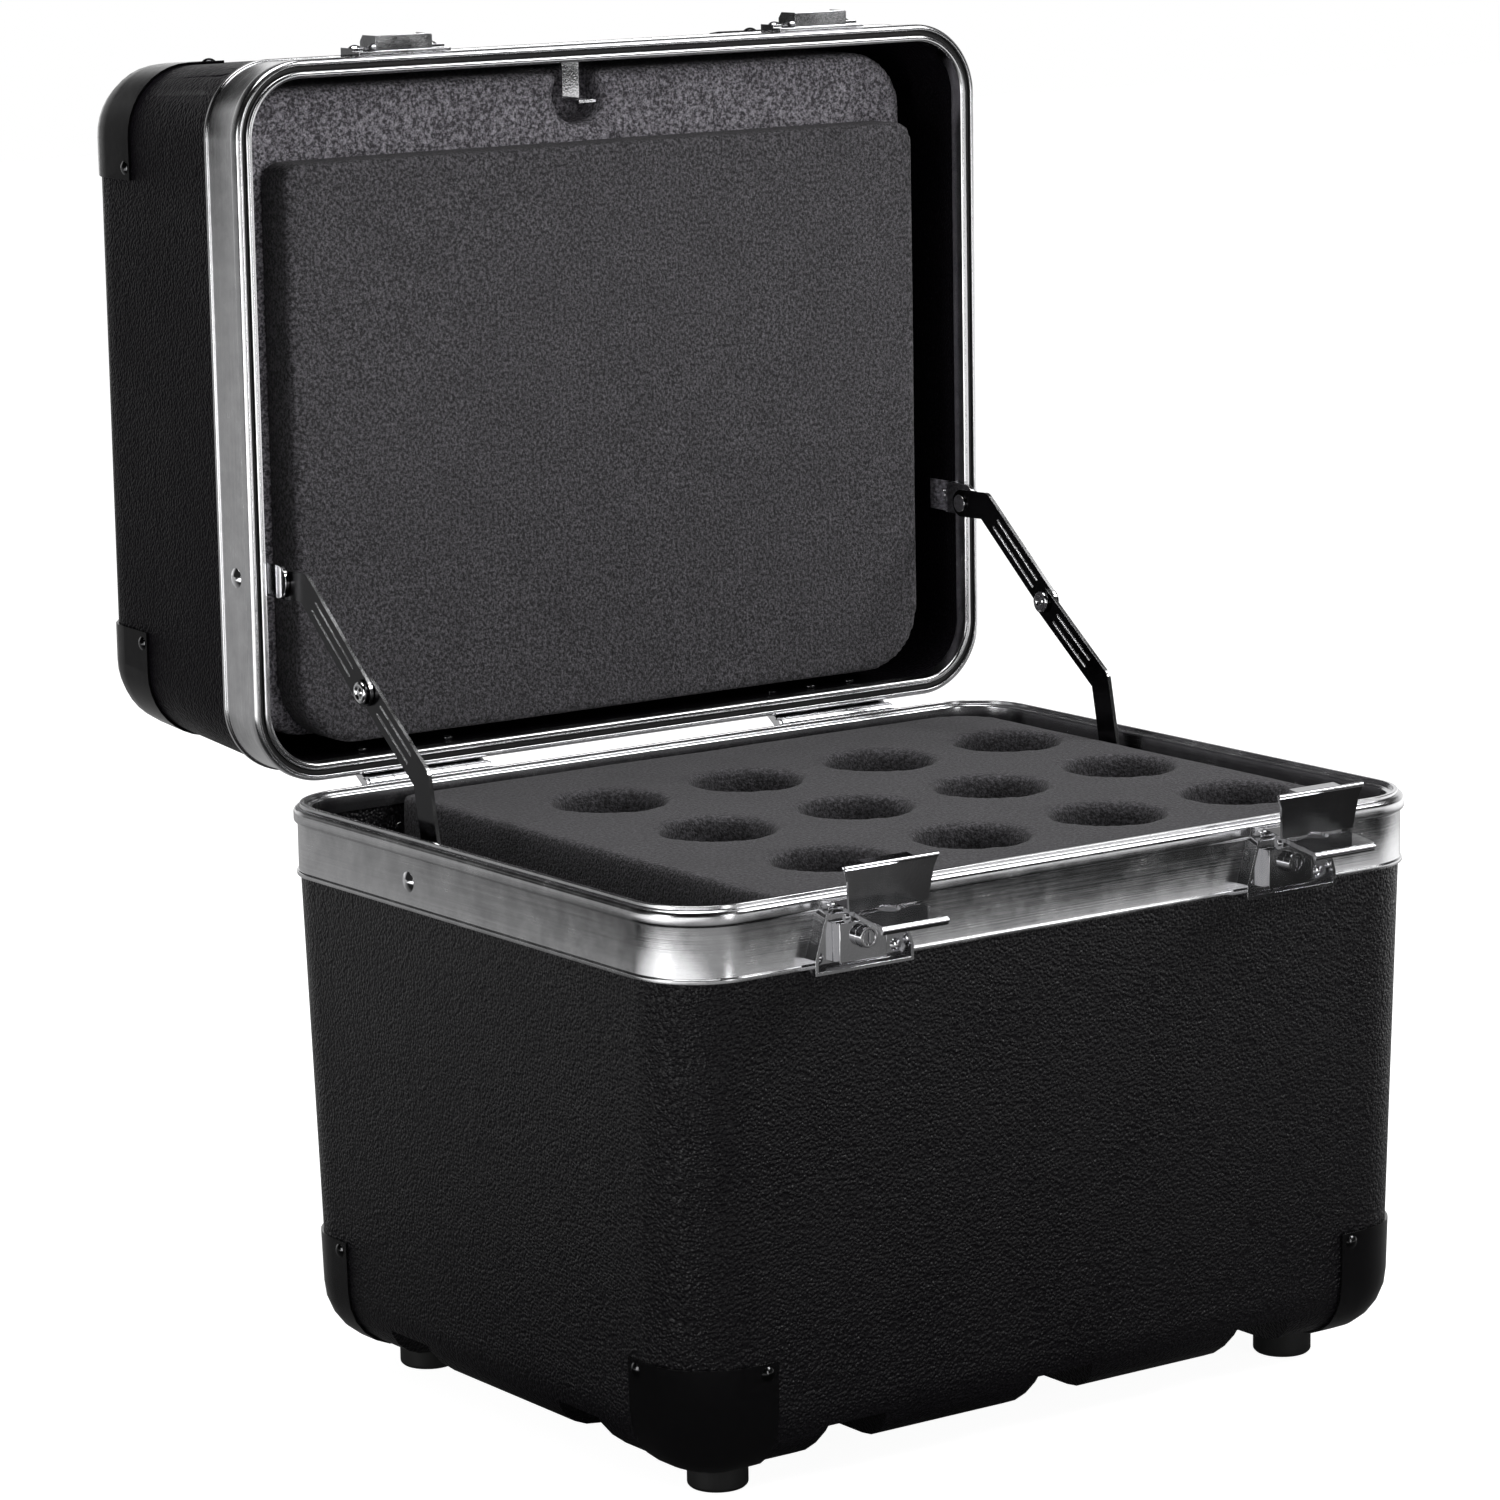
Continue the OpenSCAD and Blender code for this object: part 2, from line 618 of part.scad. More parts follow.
module leaf(x, own) {
  pitch = hinge_w / knuckles;
  difference() {
    union() {
      back_section(x) linear_extrude(hinge_w, center = true) {
        translate([0, -leaf_h]) square([leaf_t, leaf_h - 9]);
        polygon([[0, -leaf_h + 15], [leaf_t, -13], [hinge_out + 2.2, -3.2], [hinge_out, -1.4],
                 [4.1, -1.7], [bead_out + 0.5, -5], [bead_out + 0.5, -bead_h - 0.6],
                 [0, -bead_h - 0.6]]);
      }
      for (i = [0 : knuckles - 1]) if (i % 2 == own)
        back_section(x + (i - (knuckles - 1) / 2) * pitch) translate([hinge_out, 0, 0])
          cylinder(h = pitch - knuckle_gap, r = knuckle_r, center = true);
    }
    for (i = [0 : knuckles - 1]) if (i % 2 != own)
      back_section(x + (i - (knuckles - 1) / 2) * pitch) translate([hinge_out, 0, 0])
        cylinder(h = pitch + knuckle_gap, r = knuckle_r + knuckle_gap, center = true);
    back_section(x) translate([hinge_out, 0, 0])
      cylinder(h = hinge_w + 2, r = hinge_pin_r + pin_gap, center = true);
    at_hinge_rivets() rivet_hole(small_rivet);
  }
}

module hinge_base_leaf(x) color(chrome) base_frame() leaf(x, 0);
module hinge_lid_leaf(x) color(chrome) hanging_lid() leaf(x, 1);
module hinge_pin(x) color(chrome) base_frame() back_section(x) translate([hinge_out, 0, 0]) {
  cylinder(h = hinge_w + 1, r = hinge_pin_r, center = true);
  for (s = [-1, 1]) translate([0, 0, s * (hinge_w / 2 + 0.9)])
    cylinder(h = 1.4, r = hinge_pin_r + 0.8, center = true);
}
module hinge_base_rivets() color(chrome) base_frame()
  at_hinge_rivets() rivet(small_rivet, leaf_t + wall_grip(hinge_rivet_s, base_draft));
module hinge_lid_rivets() color(chrome) hanging_lid()
  at_hinge_rivets() rivet(small_rivet, leaf_t + wall_grip(hinge_rivet_s, lid_draft));

// ---- Stays ----

module stay_base_bracket(s) color(dark_chrome) base_frame() side(s) difference() {
  w0 = inner(11 - stay_b[1], base_draft) + 0.1;
  union() {
    slab(w0, w0 + bracket_t) translate([stay_b[0] - 17, stay_b[1] - 11]) square([34, 20.5]);
    cross_pin(stay_b, w0, lower_w0 - 0.3, 6.5);
  }
  cross_pin(stay_b, 0, 30, stay_pin_r + rivet_gap);
}

// These rivets go right through the wall and bracket, and are the lower links' pivots
module stay_base_rivets() color(chrome) base_frame() for (s = [-1, 1]) side(s) {
  cross_pin(stay_b, 0, lower_w1 + 0.2, stay_pin_r);
  cross_pin(stay_b, lower_w1 + 0.1, lower_w1 + 1.5, stay_rivet[0]);
  translate([case_w / 2, stay_b[0], stay_b[1]]) rotate([0, 90, 0]) intersection() {
    translate([0, 0, stay_rivet[1] - 9.6]) sphere(9.6);
    cylinder(h = stay_rivet[1], r = stay_rivet[0]);
  }
}

module stay_grooves(points) for (i = [0 : len(points) - 2]) {
  along = points[i + 1] - points[i];
  step = along / norm(along);
  for (off = [-1, 1])
    strap(points[i] + 13 * step + off * 2.6 * [-step[1], step[0]],
          points[i + 1] - 13 * step + off * 2.6 * [-step[1], step[0]], 1.6);
}

module stay_lower(s) color(dark_chrome) base_frame() side(s) difference() {
  union() {
    slab(lower_w0, lower_w1) {
      strap(stay_b, lower_bend, link_w);
      strap(lower_bend, stay_m, link_w);
    }
    cross_pin(stay_m, lower_w1 - 0.1, lower_w1 + 1.4, stay_rivet[0] + 1);
  }
  for (w = [lower_w0 - 1.4, lower_w1 - 0.6])
    slab(w, w + 2) stay_grooves([lower_bend, stay_m]);
  cross_pin(stay_b, 0, 30, stay_pin_r + pin_gap);
}

module stay_upper(s) color(dark_chrome) base_frame() side(s) difference() {
  union() {
    slab(upper_w0, upper_w1) {
      strap(stay_l, upper_bend, link_w);
      strap(upper_bend, stay_m, link_w);
    }
    cross_pin(stay_m, upper_w0 - 1.4, upper_w0 + 0.1, stay_rivet[0] + 1);
  }
  for (w = [upper_w0 - 1.4, upper_w1 - 0.6])
    slab(w, w + 2) stay_grooves([upper_bend, stay_m]);
  cross_pin(stay_l, 0, 30, stay_pin_r + pin_gap);
}

// ---- Lid ----

module lid_shell() color(shell_black) hanging_lid() difference() {
  moulded_shell(lid_h, lid_draft, groove_h + cap_t + 0.2, false);
  at_guard_rivets(lid_h, lid_draft, lid_guard_span) rivet_hole(guard_rivet);
  at_keeper_rivets() rivet_hole(small_rivet);
  at_hinge_rivets() rivet_hole(small_rivet);
  at_catch_rivets() rivet_hole(small_rivet);
  at_handle_rivets() rivet_hole(small_rivet);
  for (s = [-1, 1]) side(s) cross_pin(lid_rivet_down(), -5, 12, stay_pin_r + rivet_gap);
}

function lid_rivet_down() = [stay_lid_rivet[0], -stay_lid_rivet[1]];

module lid_rim() color(aluminium) hanging_lid() difference() {
  around_rim() difference() {
    union() {
      translate([-rim_t, -rim_h]) square([rim_t, rim_h - rim_gap]);
      translate([-0.1, -bead_h]) square([bead_out - 0.6, bead_h - rim_gap]);
      for (v = [-bead_h + 1.2, -1.2 - rim_gap]) translate([bead_out - 1.2, v]) circle(1.2, $fn = 24);
      translate([bead_out - 1, -bead_h + 1.2]) square([1, bead_h - 2.4 - rim_gap]);
      translate([-0.1, -rim_h]) square([foot_bead_out + 0.1, foot_bead_h]);
      translate([-rim_w, -groove_h - cap_t]) square([rim_w, groove_h + cap_t - 0.7 - rim_gap]);
      translate([-rim_w, -lip_h]) square([lip_t, lip_h - 1]);
      translate([-rim_w + inner_bead_w / 2, -rim_gap - inner_bead_w / 2])
        circle(inner_bead_w / 2, $fn = 32);
    }
    translate([-groove_in, -groove_h]) square([groove_in + groove_out, groove_h + 1]);
  }
  at_keeper_rivets() rivet_hole(small_rivet);
  at_hinge_rivets() rivet_hole(small_rivet);
  for (s = [-1, 1]) side(s) cross_pin(lid_rivet_down(), -5, 12, stay_pin_r + rivet_gap);
}

module lid_seal() color(rubber_black) hanging_lid() around_rim()
  translate([-groove_in, -groove_h]) square([groove_in + groove_out, seal_t]);

module lid_corner(sx, sy) color(gloss_black) hanging_lid()
  corner_guard(sx, sy, lid_h, lid_draft, lid_guard_span);

module lid_corner_rivets() color(chrome) hanging_lid()
  at_guard_rivets(lid_h, lid_draft, lid_guard_span) rivet(guard_rivet, guard_grip(lid_h, lid_draft));

module lid_foam_back() color(foam_grey) hanging_lid() {
  front = lid_pad_inset + lid_pad_t;
  back = lid_h - shell_t - tail_h - 0.5;
  in = wall_in + 8;
  difference() {
    intersection() {
      translate([0, 0, -back]) linear_extrude(back - front - 0.02)
        rounded_rect(case_w - 2 * in - 10, case_d - 2 * in, 30);
      tub_form(wall_in + 1, back, lid_draft, edge_r - shell_t);
    }
    translate([0, catch_y, -front - 26]) cylinder(h = 40, r = pocket_r);
    translate([-pocket_r, -case_d / 2, -front - 26]) cube([2 * pocket_r, 30, 16]);
    translate([0, 0, -back - 1]) linear_extrude(back + 1 - front - lid_block_t)
      rounded_rect(case_w - 2 * (in + lid_block_edge), case_d - 2 * (in + lid_block_edge), 12);
  }
}

// The pad's corners are tight along the front of the lid and round beside the hinges
module lid_foam_pad() color(foam_grey) hanging_lid()
  translate([0, pad_y, -lid_pad_inset - lid_pad_t]) linear_extrude(lid_pad_t) {
    rounded_rect(pad_w, pad_d, pad_back_r);
    translate([0, -pad_d / 4]) rounded_rect(pad_w, pad_d / 2, pad_front_r);
  }

// ---- Keepers ----

module at_keeper_rivets()
  for (x = [-fitting_x, fitting_x], side = [-1, 1])
    translate([x + side * (keeper_w / 2 - 4.5), -case_d / 2 - keeper_out - 3.2, -keeper_rivet_s])
      rotate([90, 0, 0]) children();

// A flange over the bead, an ear each side, and a block whose ridge the hook bears on
module keeper(x) color(chrome) lid_frame() difference() {
  union() {
    front_section(x) linear_extrude(keeper_w, center = true)
      polygon([[0, bead_h + 0.6], [keeper_out, bead_h + 0.2], [keeper_out, keeper_z],
               [keeper_out + 1.6, keeper_z], [keeper_out + 1.6, keeper_z + keeper_h],
               [0, keeper_z + keeper_h]]);
    for (s = [-1, 1]) front_section(x + s * (keeper_w / 2 - 4.5))
      linear_extrude(9, center = true)
        translate([keeper_out, keeper_z + keeper_h - 11]) square([3.2, 11]);
    for (s = [-1, 1]) front_section(x + s * (block_w / 2 - 0.8)) linear_extrude(1.6, center = true)
      polygon([[keeper_out, keeper_z + 1], [block_out - 1, keeper_z + 1],
               [block_out, keeper_z + 3], [block_out, keeper_z + 13],
               [block_out - 3, keeper_z + 15.5], [keeper_out, keeper_z + 15.5]]);
    front_section(x) linear_extrude(block_w, center = true) {
      translate([keeper_out, keeper_z + 1]) square([block_out - keeper_out, ridge_z - keeper_z - 2.2]);
      translate([lever_pivot[0] - 0.8, keeper_z + 1])
        square([block_out - lever_pivot[0] + 0.8, ridge_z - keeper_z - 1]);
      translate([block_out - 6, keeper_z + 12]) square([4.4, 1.4]);
      translate([keeper_out, keeper_z + 12]) square([block_out - keeper_out - 1.5, 1.4]);
    }
  }
  mirror([0, 0, 1]) at_keeper_rivets() rivet_hole(small_rivet);
}

module keeper_rivets() color(chrome) hanging_lid()
  at_keeper_rivets() rivet(small_rivet, keeper_out + 3.2 + wall_grip(keeper_rivet_s, lid_draft));

// ---- Stay brackets and rivets on the lid ----

module stay_lid_bracket(s) color(chrome) lid_frame() side(s) difference() {
  y0 = stay_lid_rivet[0] - 8;
  union() {
    slab(lid_stay_in, lid_stay_in + bracket_t) translate([y0, lip_h + 0.7]) square([16, 19]);
    slab(lid_stay_in, upper_w0 - 0.4) translate([y0, lip_h + 0.7]) square([16, bracket_t]);
    slab(upper_w0 - 0.4 - bracket_t, upper_w0 - 0.4) {
      translate([y0, stay_l_shut[1]]) square([16, lip_h + 2.7 - stay_l_shut[1]]);
      translate([y0 + 8, stay_l_shut[1]]) circle(8);
    }
    cross_pin(stay_l_shut, upper_w0 - 0.5, upper_w1 + 0.2, stay_pin_r);
    cross_pin(stay_l_shut, upper_w1 + 0.15, upper_w1 + 1.3, stay_rivet[0] - 0.5);
  }
  cross_pin(stay_lid_rivet, 0, lid_stay_in + bracket_t + 0.01, stay_pin_r + rivet_gap);
}

module stay_lid_rivets() color(chrome) lid_frame() for (s = [-1, 1]) side(s)
  translate([case_w / 2, stay_lid_rivet[0], stay_lid_rivet[1]]) rotate([0, 90, 0])
    rivet(stay_rivet, lid_stay_in + bracket_t);

// ---- Catch in the lid foam ----

module at_catch_rivets()
  for (side = [-1, 1]) on_face(270, side * 7, catch_s, inset(catch_s, lid_draft), lid_draft) children();

// A strip from the front wall through the foam's pocket, turned up into a loop
module catch_bracket() color(chrome) lid_frame() difference() {
  y_wall = -case_d / 2 + catch_wall;
  union() {
    translate([-12, y_wall, catch_s - 6]) cube([24, catch_t, 12]);
    translate([-catch_w / 2, y_wall, catch_s - 6]) cube([catch_w, catch_y - y_wall + 4, catch_t]);
    translate([-catch_w / 2, catch_y + 4 - catch_t, catch_s - 21]) cube([catch_w, catch_t, 16]);
  }
  translate([-3, catch_y, catch_s - 18.5]) cube([6, 8, 9]);
  mirror([0, 0, 1]) at_catch_rivets() rivet_hole(small_rivet);
}

module catch_rivets() color(chrome) hanging_lid()
  at_catch_rivets() rivet(small_rivet, catch_wall - inset(catch_s, lid_draft) + catch_t + 0.25);

// ---- Handle ----

module at_handle_rivets()
  for (sx = [-1, 1], side = [-1, 1])
    translate([sx * (handle_w / 2 + 15), handle_y + side * 8, -lid_h - 1.6])
      rotate([180, 0, 0]) children();

// Two plates on the lid's top, each with an ear for one end of the bail
module handle_plate() color(chrome) lid_frame() for (sx = [-1, 1]) difference() {
  x = sx * (handle_w / 2 + 10);
  union() {
    translate([x, handle_y, lid_h]) linear_extrude(1.6) rounded_rect(26, 32, 5);
    translate([sx * (handle_w / 2 + 5), handle_y, lid_h]) rotate([90, 0, 90])
      linear_extrude(3, center = true) {
        translate([-7, 0]) square([14, handle_up]);
        translate([0, handle_up]) circle(7);
      }
  }
  translate([sx * (handle_w / 2 + 5), handle_y, lid_h + handle_up]) rotate([0, 90, 0])
    cylinder(h = 10, r = bar_r - 1 + pin_gap, center = true);
  mirror([0, 0, 1]) at_handle_rivets() rivet_hole(small_rivet);
}

module handle_rivets() color(chrome) hanging_lid()
  at_handle_rivets() rivet(small_rivet, 1.6 + shell_t);

// A bail that lies on the lid: two arms and a padded grip, with its ends turned out into the ears
module handle_bar() color(rubber_black) lid_frame() translate([0, handle_y, lid_h + handle_up]) {
  for (s = [-1, 1]) {
    translate([s * (handle_w / 2 + 2.5), 0, 0]) rotate([0, 90, 0])
      cylinder(h = 11, r = bar_r - 1, center = true);
    translate([s * handle_w / 2 - s * bar_r, 0, 0]) rotate([-90, 0, 0])
      cylinder(h = handle_reach, r = bar_r);
    translate([s * handle_w / 2 - s * bar_r, 0, 0]) sphere(bar_r);
    translate([s * handle_w / 2 - s * bar_r, handle_reach, 0]) sphere(bar_r);
  }
  translate([0, handle_reach, 0]) rotate([0, 90, 0]) {
    cylinder(h = handle_w - 2 * bar_r, r = bar_r, center = true);
    cylinder(h = handle_w - 24, r = grip_r, center = true);
  }
}

base_shell();
base_rim();
base_corner(-1, -1);  // base_corner_front_left
base_corner(1, -1);  // base_corner_front_right
base_corner(-1, 1);  // base_corner_back_left
base_corner(1, 1);  // base_corner_back_right
base_corner_rivets();
feet();
floor_pad();
mic_foam();
latch_pan(-fitting_x);  // latch_pan_left
latch_pan(fitting_x);  // latch_pan_right
latch_rivets();
latch_pin(-fitting_x);  // latch_pin_left
latch_pin(fitting_x);  // latch_pin_right
lever(-fitting_x);  // lever_left
lever(fitting_x);  // lever_right
claw(-fitting_x);  // claw_left
claw(fitting_x);  // claw_right
lock_body(-fitting_x);  // lock_body_left
lock_body(fitting_x);  // lock_body_right
lock_plug(-fitting_x);  // lock_plug_left
lock_plug(fitting_x);  // lock_plug_right
hinge_base_leaf(-fitting_x);  // hinge_base_leaf_left
hinge_base_leaf(fitting_x);  // hinge_base_leaf_right
hinge_pin(-fitting_x);  // hinge_pin_left
hinge_pin(fitting_x);  // hinge_pin_right
hinge_base_rivets();
stay_base_bracket(-1);  // stay_base_bracket_left
stay_base_bracket(1);  // stay_base_bracket_right
stay_base_rivets();
stay_lower(-1);  // stay_lower_left
stay_lower(1);  // stay_lower_right
stay_upper(-1);  // stay_upper_left
stay_upper(1);  // stay_upper_right
lid_shell();
lid_rim();
lid_seal();
lid_corner(-1, -1);  // lid_corner_front_left
lid_corner(1, -1);  // lid_corner_front_right
lid_corner(-1, 1);  // lid_corner_back_left
lid_corner(1, 1);  // lid_corner_back_right
lid_corner_rivets();
lid_foam_back();
lid_foam_pad();
keeper(-fitting_x);  // keeper_left
keeper(fitting_x);  // keeper_right
keeper_rivets();
hinge_lid_leaf(-fitting_x);  // hinge_lid_leaf_left
hinge_lid_leaf(fitting_x);  // hinge_lid_leaf_right
hinge_lid_rivets();
stay_lid_bracket(-1);  // stay_lid_bracket_left
stay_lid_bracket(1);  // stay_lid_bracket_right
stay_lid_rivets();
catch_bracket();
catch_rivets();
handle_plate();
handle_rivets();
handle_bar();
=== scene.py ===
# Looks of a hinged transport case that stands open on a pale floor.
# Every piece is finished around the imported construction, in metres, with the latches towards -Y.
import json
import math

import bmesh
import bpy
from mathutils import Matrix, Vector, noise


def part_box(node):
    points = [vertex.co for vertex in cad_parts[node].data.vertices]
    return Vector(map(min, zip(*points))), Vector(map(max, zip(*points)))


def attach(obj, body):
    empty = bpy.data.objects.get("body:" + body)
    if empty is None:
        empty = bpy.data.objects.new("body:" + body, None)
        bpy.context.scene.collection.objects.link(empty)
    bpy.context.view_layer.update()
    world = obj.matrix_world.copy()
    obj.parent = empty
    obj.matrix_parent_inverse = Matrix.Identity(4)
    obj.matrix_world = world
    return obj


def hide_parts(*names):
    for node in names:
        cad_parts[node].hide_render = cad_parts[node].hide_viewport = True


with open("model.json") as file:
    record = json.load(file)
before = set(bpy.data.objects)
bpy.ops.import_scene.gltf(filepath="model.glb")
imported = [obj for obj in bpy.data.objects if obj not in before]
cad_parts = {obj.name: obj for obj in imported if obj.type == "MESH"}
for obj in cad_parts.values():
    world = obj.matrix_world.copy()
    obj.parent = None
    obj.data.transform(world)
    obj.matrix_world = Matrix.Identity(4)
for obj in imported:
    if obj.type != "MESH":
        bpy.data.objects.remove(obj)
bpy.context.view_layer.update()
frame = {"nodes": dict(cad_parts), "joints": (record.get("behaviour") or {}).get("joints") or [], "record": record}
MM = 0.001

# ---- Camera ----
# A long lens a little above the rims, to the left of the latches, as in the photograph. Its place was fitted
# to the straight edges of both rims, to the rivets and to the foam's drops.
PHOTO_SIDE = 1500
FOCAL_PIXELS = 5570.12
camera = bpy.data.objects.new("camera", bpy.data.cameras.new("camera"))
camera.data.sensor_width = 36.0
camera.data.lens = FOCAL_PIXELS / PHOTO_SIDE * camera.data.sensor_width
camera.data.clip_end = 50.0
camera.location = (-1.550457, -2.178284, 0.786455)
camera_turn = math.radians(-35.366)
camera_dip = math.radians(10.519)
camera_roll = math.radians(-0.995)
camera.rotation_euler = (
    Matrix.Rotation(camera_turn, 3, "Z")
    @ Matrix.Rotation(math.pi / 2 - camera_dip, 3, "X")
    @ Matrix.Rotation(camera_roll, 3, "Z")
).to_euler()
bpy.context.scene.collection.objects.link(camera)
bpy.context.scene.camera = camera
bpy.context.scene.view_settings.view_transform = "Standard"


# ---- Studio ----
# Five soft lamps in a room that is white behind the case and dark on the camera's side. Polished metal
# sees that room, so its faces go black or bright as in the photograph, and the camera sees plain white.
class Thread:
    """A socket of a node tree. Arithmetic on it adds the tree's Math nodes."""

    def __init__(self, tree, socket=None):
        self.tree = tree
        self.socket = socket

    def node(self, kind, settings=None, inputs=None, output=0):
        """Adds a node, sets it up, feeds its sockets, and returns one of its outputs."""
        made = self.tree.nodes.new(kind)
        for name, value in (settings or {}).items():
            setattr(made, name, value)
        for name, value in (inputs or {}).items():
            if isinstance(value, Thread):
                self.tree.links.new(value.socket, made.inputs[name])
            else:
                made.inputs[name].default_value = value
        return Thread(self.tree, made.outputs[output] if len(made.outputs) else None)

    def math(self, operation, first, second):
        return self.node("ShaderNodeMath", {"operation": operation}, {0: first, 1: second})

    def __add__(self, other):
        return self.math("ADD", self, other)

    __radd__ = __add__

    def __mul__(self, other):
        return self.math("MULTIPLY", self, other)

    __rmul__ = __mul__

    def __sub__(self, other):
        return self.math("SUBTRACT", self, other)

    def __rsub__(self, other):
        return self.math("SUBTRACT", other, self)

    def __abs__(self):
        return self.node("ShaderNodeMath", {"operation": "ABSOLUTE"}, {0: self})


def ray_kinds(start):
    """1 on a ray from the camera, and 1 on a ray that comes off something shiny."""
    seen = start.node("ShaderNodeLightPath", output="Is Camera Ray")
    mirrored = start.node("ShaderNodeLightPath", output="Is Glossy Ray")
    return seen, mirrored


def along(start, place, way):
    """How far a place or a heading lies along a direction."""
    dot = {"operation": "DOT_PRODUCT"}
    return start.node("ShaderNodeVectorMath", dot, {0: place, 1: way}, output="Value")


def on_axis(start, place, axis):
    return start.node("ShaderNodeSeparateXYZ", inputs={0: place}, output=axis)


def spread(start, value, low, high, to_low, to_high):
    """The value, stretched from one range to another and held at its ends."""
    return start.node("ShaderNodeMapRange", inputs={0: value, 1: low, 2: high, 3: to_low, 4: to_high})


# The heading over the ground from the camera to the case, and how the white wall that lies that way ends:
# at its sides by the heading's part along AWAY, and at its top by the heading's height.
AWAY = (0.579, 0.815, 0.0)
WALL_SIDES = (0.35, 0.85)
WALL_TOP = (0.3, 0.42)
AMBIENT = 0.24
room = bpy.data.worlds.new("room")
room.use_nodes = True
room.node_tree.nodes.clear()
bpy.context.scene.world = room
start = Thread(room.node_tree)
seen, mirrored = ray_kinds(start)
heading = start.node("ShaderNodeTexCoord", output="Generated")
wall = spread(start, along(start, heading, AWAY), *WALL_SIDES, 0.02, 1.1)
top = spread(start, on_axis(start, heading, "Z"), *WALL_TOP, 1.0, 0.06)
level = seen + mirrored * wall * top + (1.0 - seen - mirrored) * AMBIENT
sky = start.node("ShaderNodeBackground", inputs={"Color": (1.0, 1.0, 1.0, 1.0), "Strength": level})
start.node("ShaderNodeOutputWorld", inputs={"Surface": sky})


def lamp(name, place, aim, width, height, watts):
    data = bpy.data.lights.new(name, "AREA")
    data.shape = "RECTANGLE"
    data.size = width
    data.size_y = height
    data.energy = watts
    made = bpy.data.objects.new(name, data)
    made.location = place
    made.rotation_euler = (Vector(aim) - Vector(place)).to_track_quat("-Z", "Y").to_euler()
    bpy.context.scene.collection.objects.link(made)


CASE_MIDDLE = (0.0, 0.0, 0.3)
FRONT_MIDDLE = (0.0, -0.25, 0.2)
lamp("key", (1.7, -1.8, 2.2), CASE_MIDDLE, 1.0, 1.0, 34.0)
lamp("overhead", (-0.2, 0.1, 2.5), CASE_MIDDLE, 1.5, 1.5, 40.0)
lamp("left panel", (-2.1, -0.35, 0.45), FRONT_MIDDLE, 0.7, 0.9, 8.0)
lamp("front strip", (0.1, -2.4, 0.5), CASE_MIDDLE, 0.3, 1.1, 5.5)
lamp("right panel", (1.42, -0.46, 2.3), CASE_MIDDLE, 0.9, 0.9, 5.0)

# ---- Floor ----
# A pale floor that the camera sees as plain white, with the case's shadow on it. Polished metal sees it
# dark in a strip near the case, and bright far out to the right and to the left.


def material_tree(name):
    """A new material with an empty tree, and a thread to add its nodes with."""
    made = bpy.data.materials.new(name)
    made.use_nodes = True
    made.node_tree.nodes.clear()
    return made, Thread(made.node_tree)


def new_piece(name, mesh):
    piece = bpy.data.objects.new(name, mesh)
    bpy.context.scene.collection.objects.link(piece)
    return piece


FLOOR_SIDE = 14.0
FLOOR_DROP = 0.2 * MM
FLOOR_WHITE = 1.9
# How far the dark strip's middle lies towards the camera, and how far from it the floor turns bright. Then
# where each patch's edge starts and ends, on X for its inner edge and on Y for the left one's back.
DARK_STRIP = 0.3
STRIP_EDGE = (0.12, 0.8)
RIGHT_PATCH = (1.25, 1.5)
LEFT_PATCH = (-1.35, -1.15)
LEFT_PATCH_BACK = (0.95, 1.25)
floor_finish, start = material_tree("pale floor")
seen, mirrored = ray_kinds(start)
ground = start.node("ShaderNodeTexCoord", output="Object")
from_strip = abs(along(start, ground, AWAY) + DARK_STRIP)
sheen = spread(start, from_strip, *STRIP_EDGE, 0.015, 0.42)
sideways = on_axis(start, ground, "X")
right = spread(start, sideways, *RIGHT_PATCH, 0.0, 1.2)
left = spread(start, sideways, *LEFT_PATCH, 1.6, 0.0)
left_back = spread(start, on_axis(start, ground, "Y"), *LEFT_PATCH_BACK, 1.0, 0.0)
paint = start.node("ShaderNodeBsdfDiffuse", inputs={"Color": (0.9, 0.9, 0.9, 1.0)})
shine = seen * FLOOR_WHITE + mirrored * (sheen + right + left * left_back)
glow = start.node("ShaderNodeEmission", inputs={"Strength": shine})
mix = start.node("ShaderNodeMixShader", inputs={0: seen * 0.5 + mirrored, 1: paint, 2: glow})
start.node("ShaderNodeOutputMaterial", inputs={"Surface": mix})
floor_mesh = bpy.data.meshes.new("floor")
floor_corners = [
    (across * FLOOR_SIDE / 2, back * FLOOR_SIDE / 2, -FLOOR_DROP)
    for across, back in ((-1, -1), (1, -1), (1, 1), (-1, 1))
]
floor_mesh.from_pydata(floor_corners, [], [(0, 1, 2, 3)])
floor_mesh.materials.append(floor_finish)
floor = new_piece("floor", floor_mesh)

# ---- Moulded shells ----
# Two tubs of black plastic, drawn over a mould with a pebbled grain. They have soft edges along the channels
# under the base, and a plain mouth that the rims cover.
body_of = {node: body for body, nodes in frame["record"]["behaviour"]["bodies"].items() for node in nodes}


def finish(name, steady, paint):
    """A material. steady holds the shader's constant sockets, and paint(thread) gives the others."""
    made, start = material_tree(name)
    shader = start.node("ShaderNodeBsdfPrincipled", inputs={**steady, **paint(start)})
    start.node("ShaderNodeOutputMaterial", inputs={"Surface": shader})
    return made


def object_place(start, scale=(1.0, 1.0, 1.0)):
    place = start.node("ShaderNodeTexCoord", output="Object")
    return start.node("ShaderNodeMapping", inputs={"Vector": place, "Scale": scale})


def cloudy(start, place, scale, detail=2.0, rough=0.5):
    sizes = {"Vector": place, "Scale": scale, "Detail": detail, "Roughness": rough}
    return start.node("ShaderNodeTexNoise", inputs=sizes)


def shade(start, factor, dark, light):
    """A colour between dark and light."""
    colours = {0: factor, 6: (*dark, 1.0), 7: (*light, 1.0)}
    return start.node("ShaderNodeMix", {"data_type": "RGBA"}, colours, output=2)


def relief(start, height, depth, strength):
    return start.node("ShaderNodeBump", inputs={"Height": height, "Distance": depth, "Strength": strength})


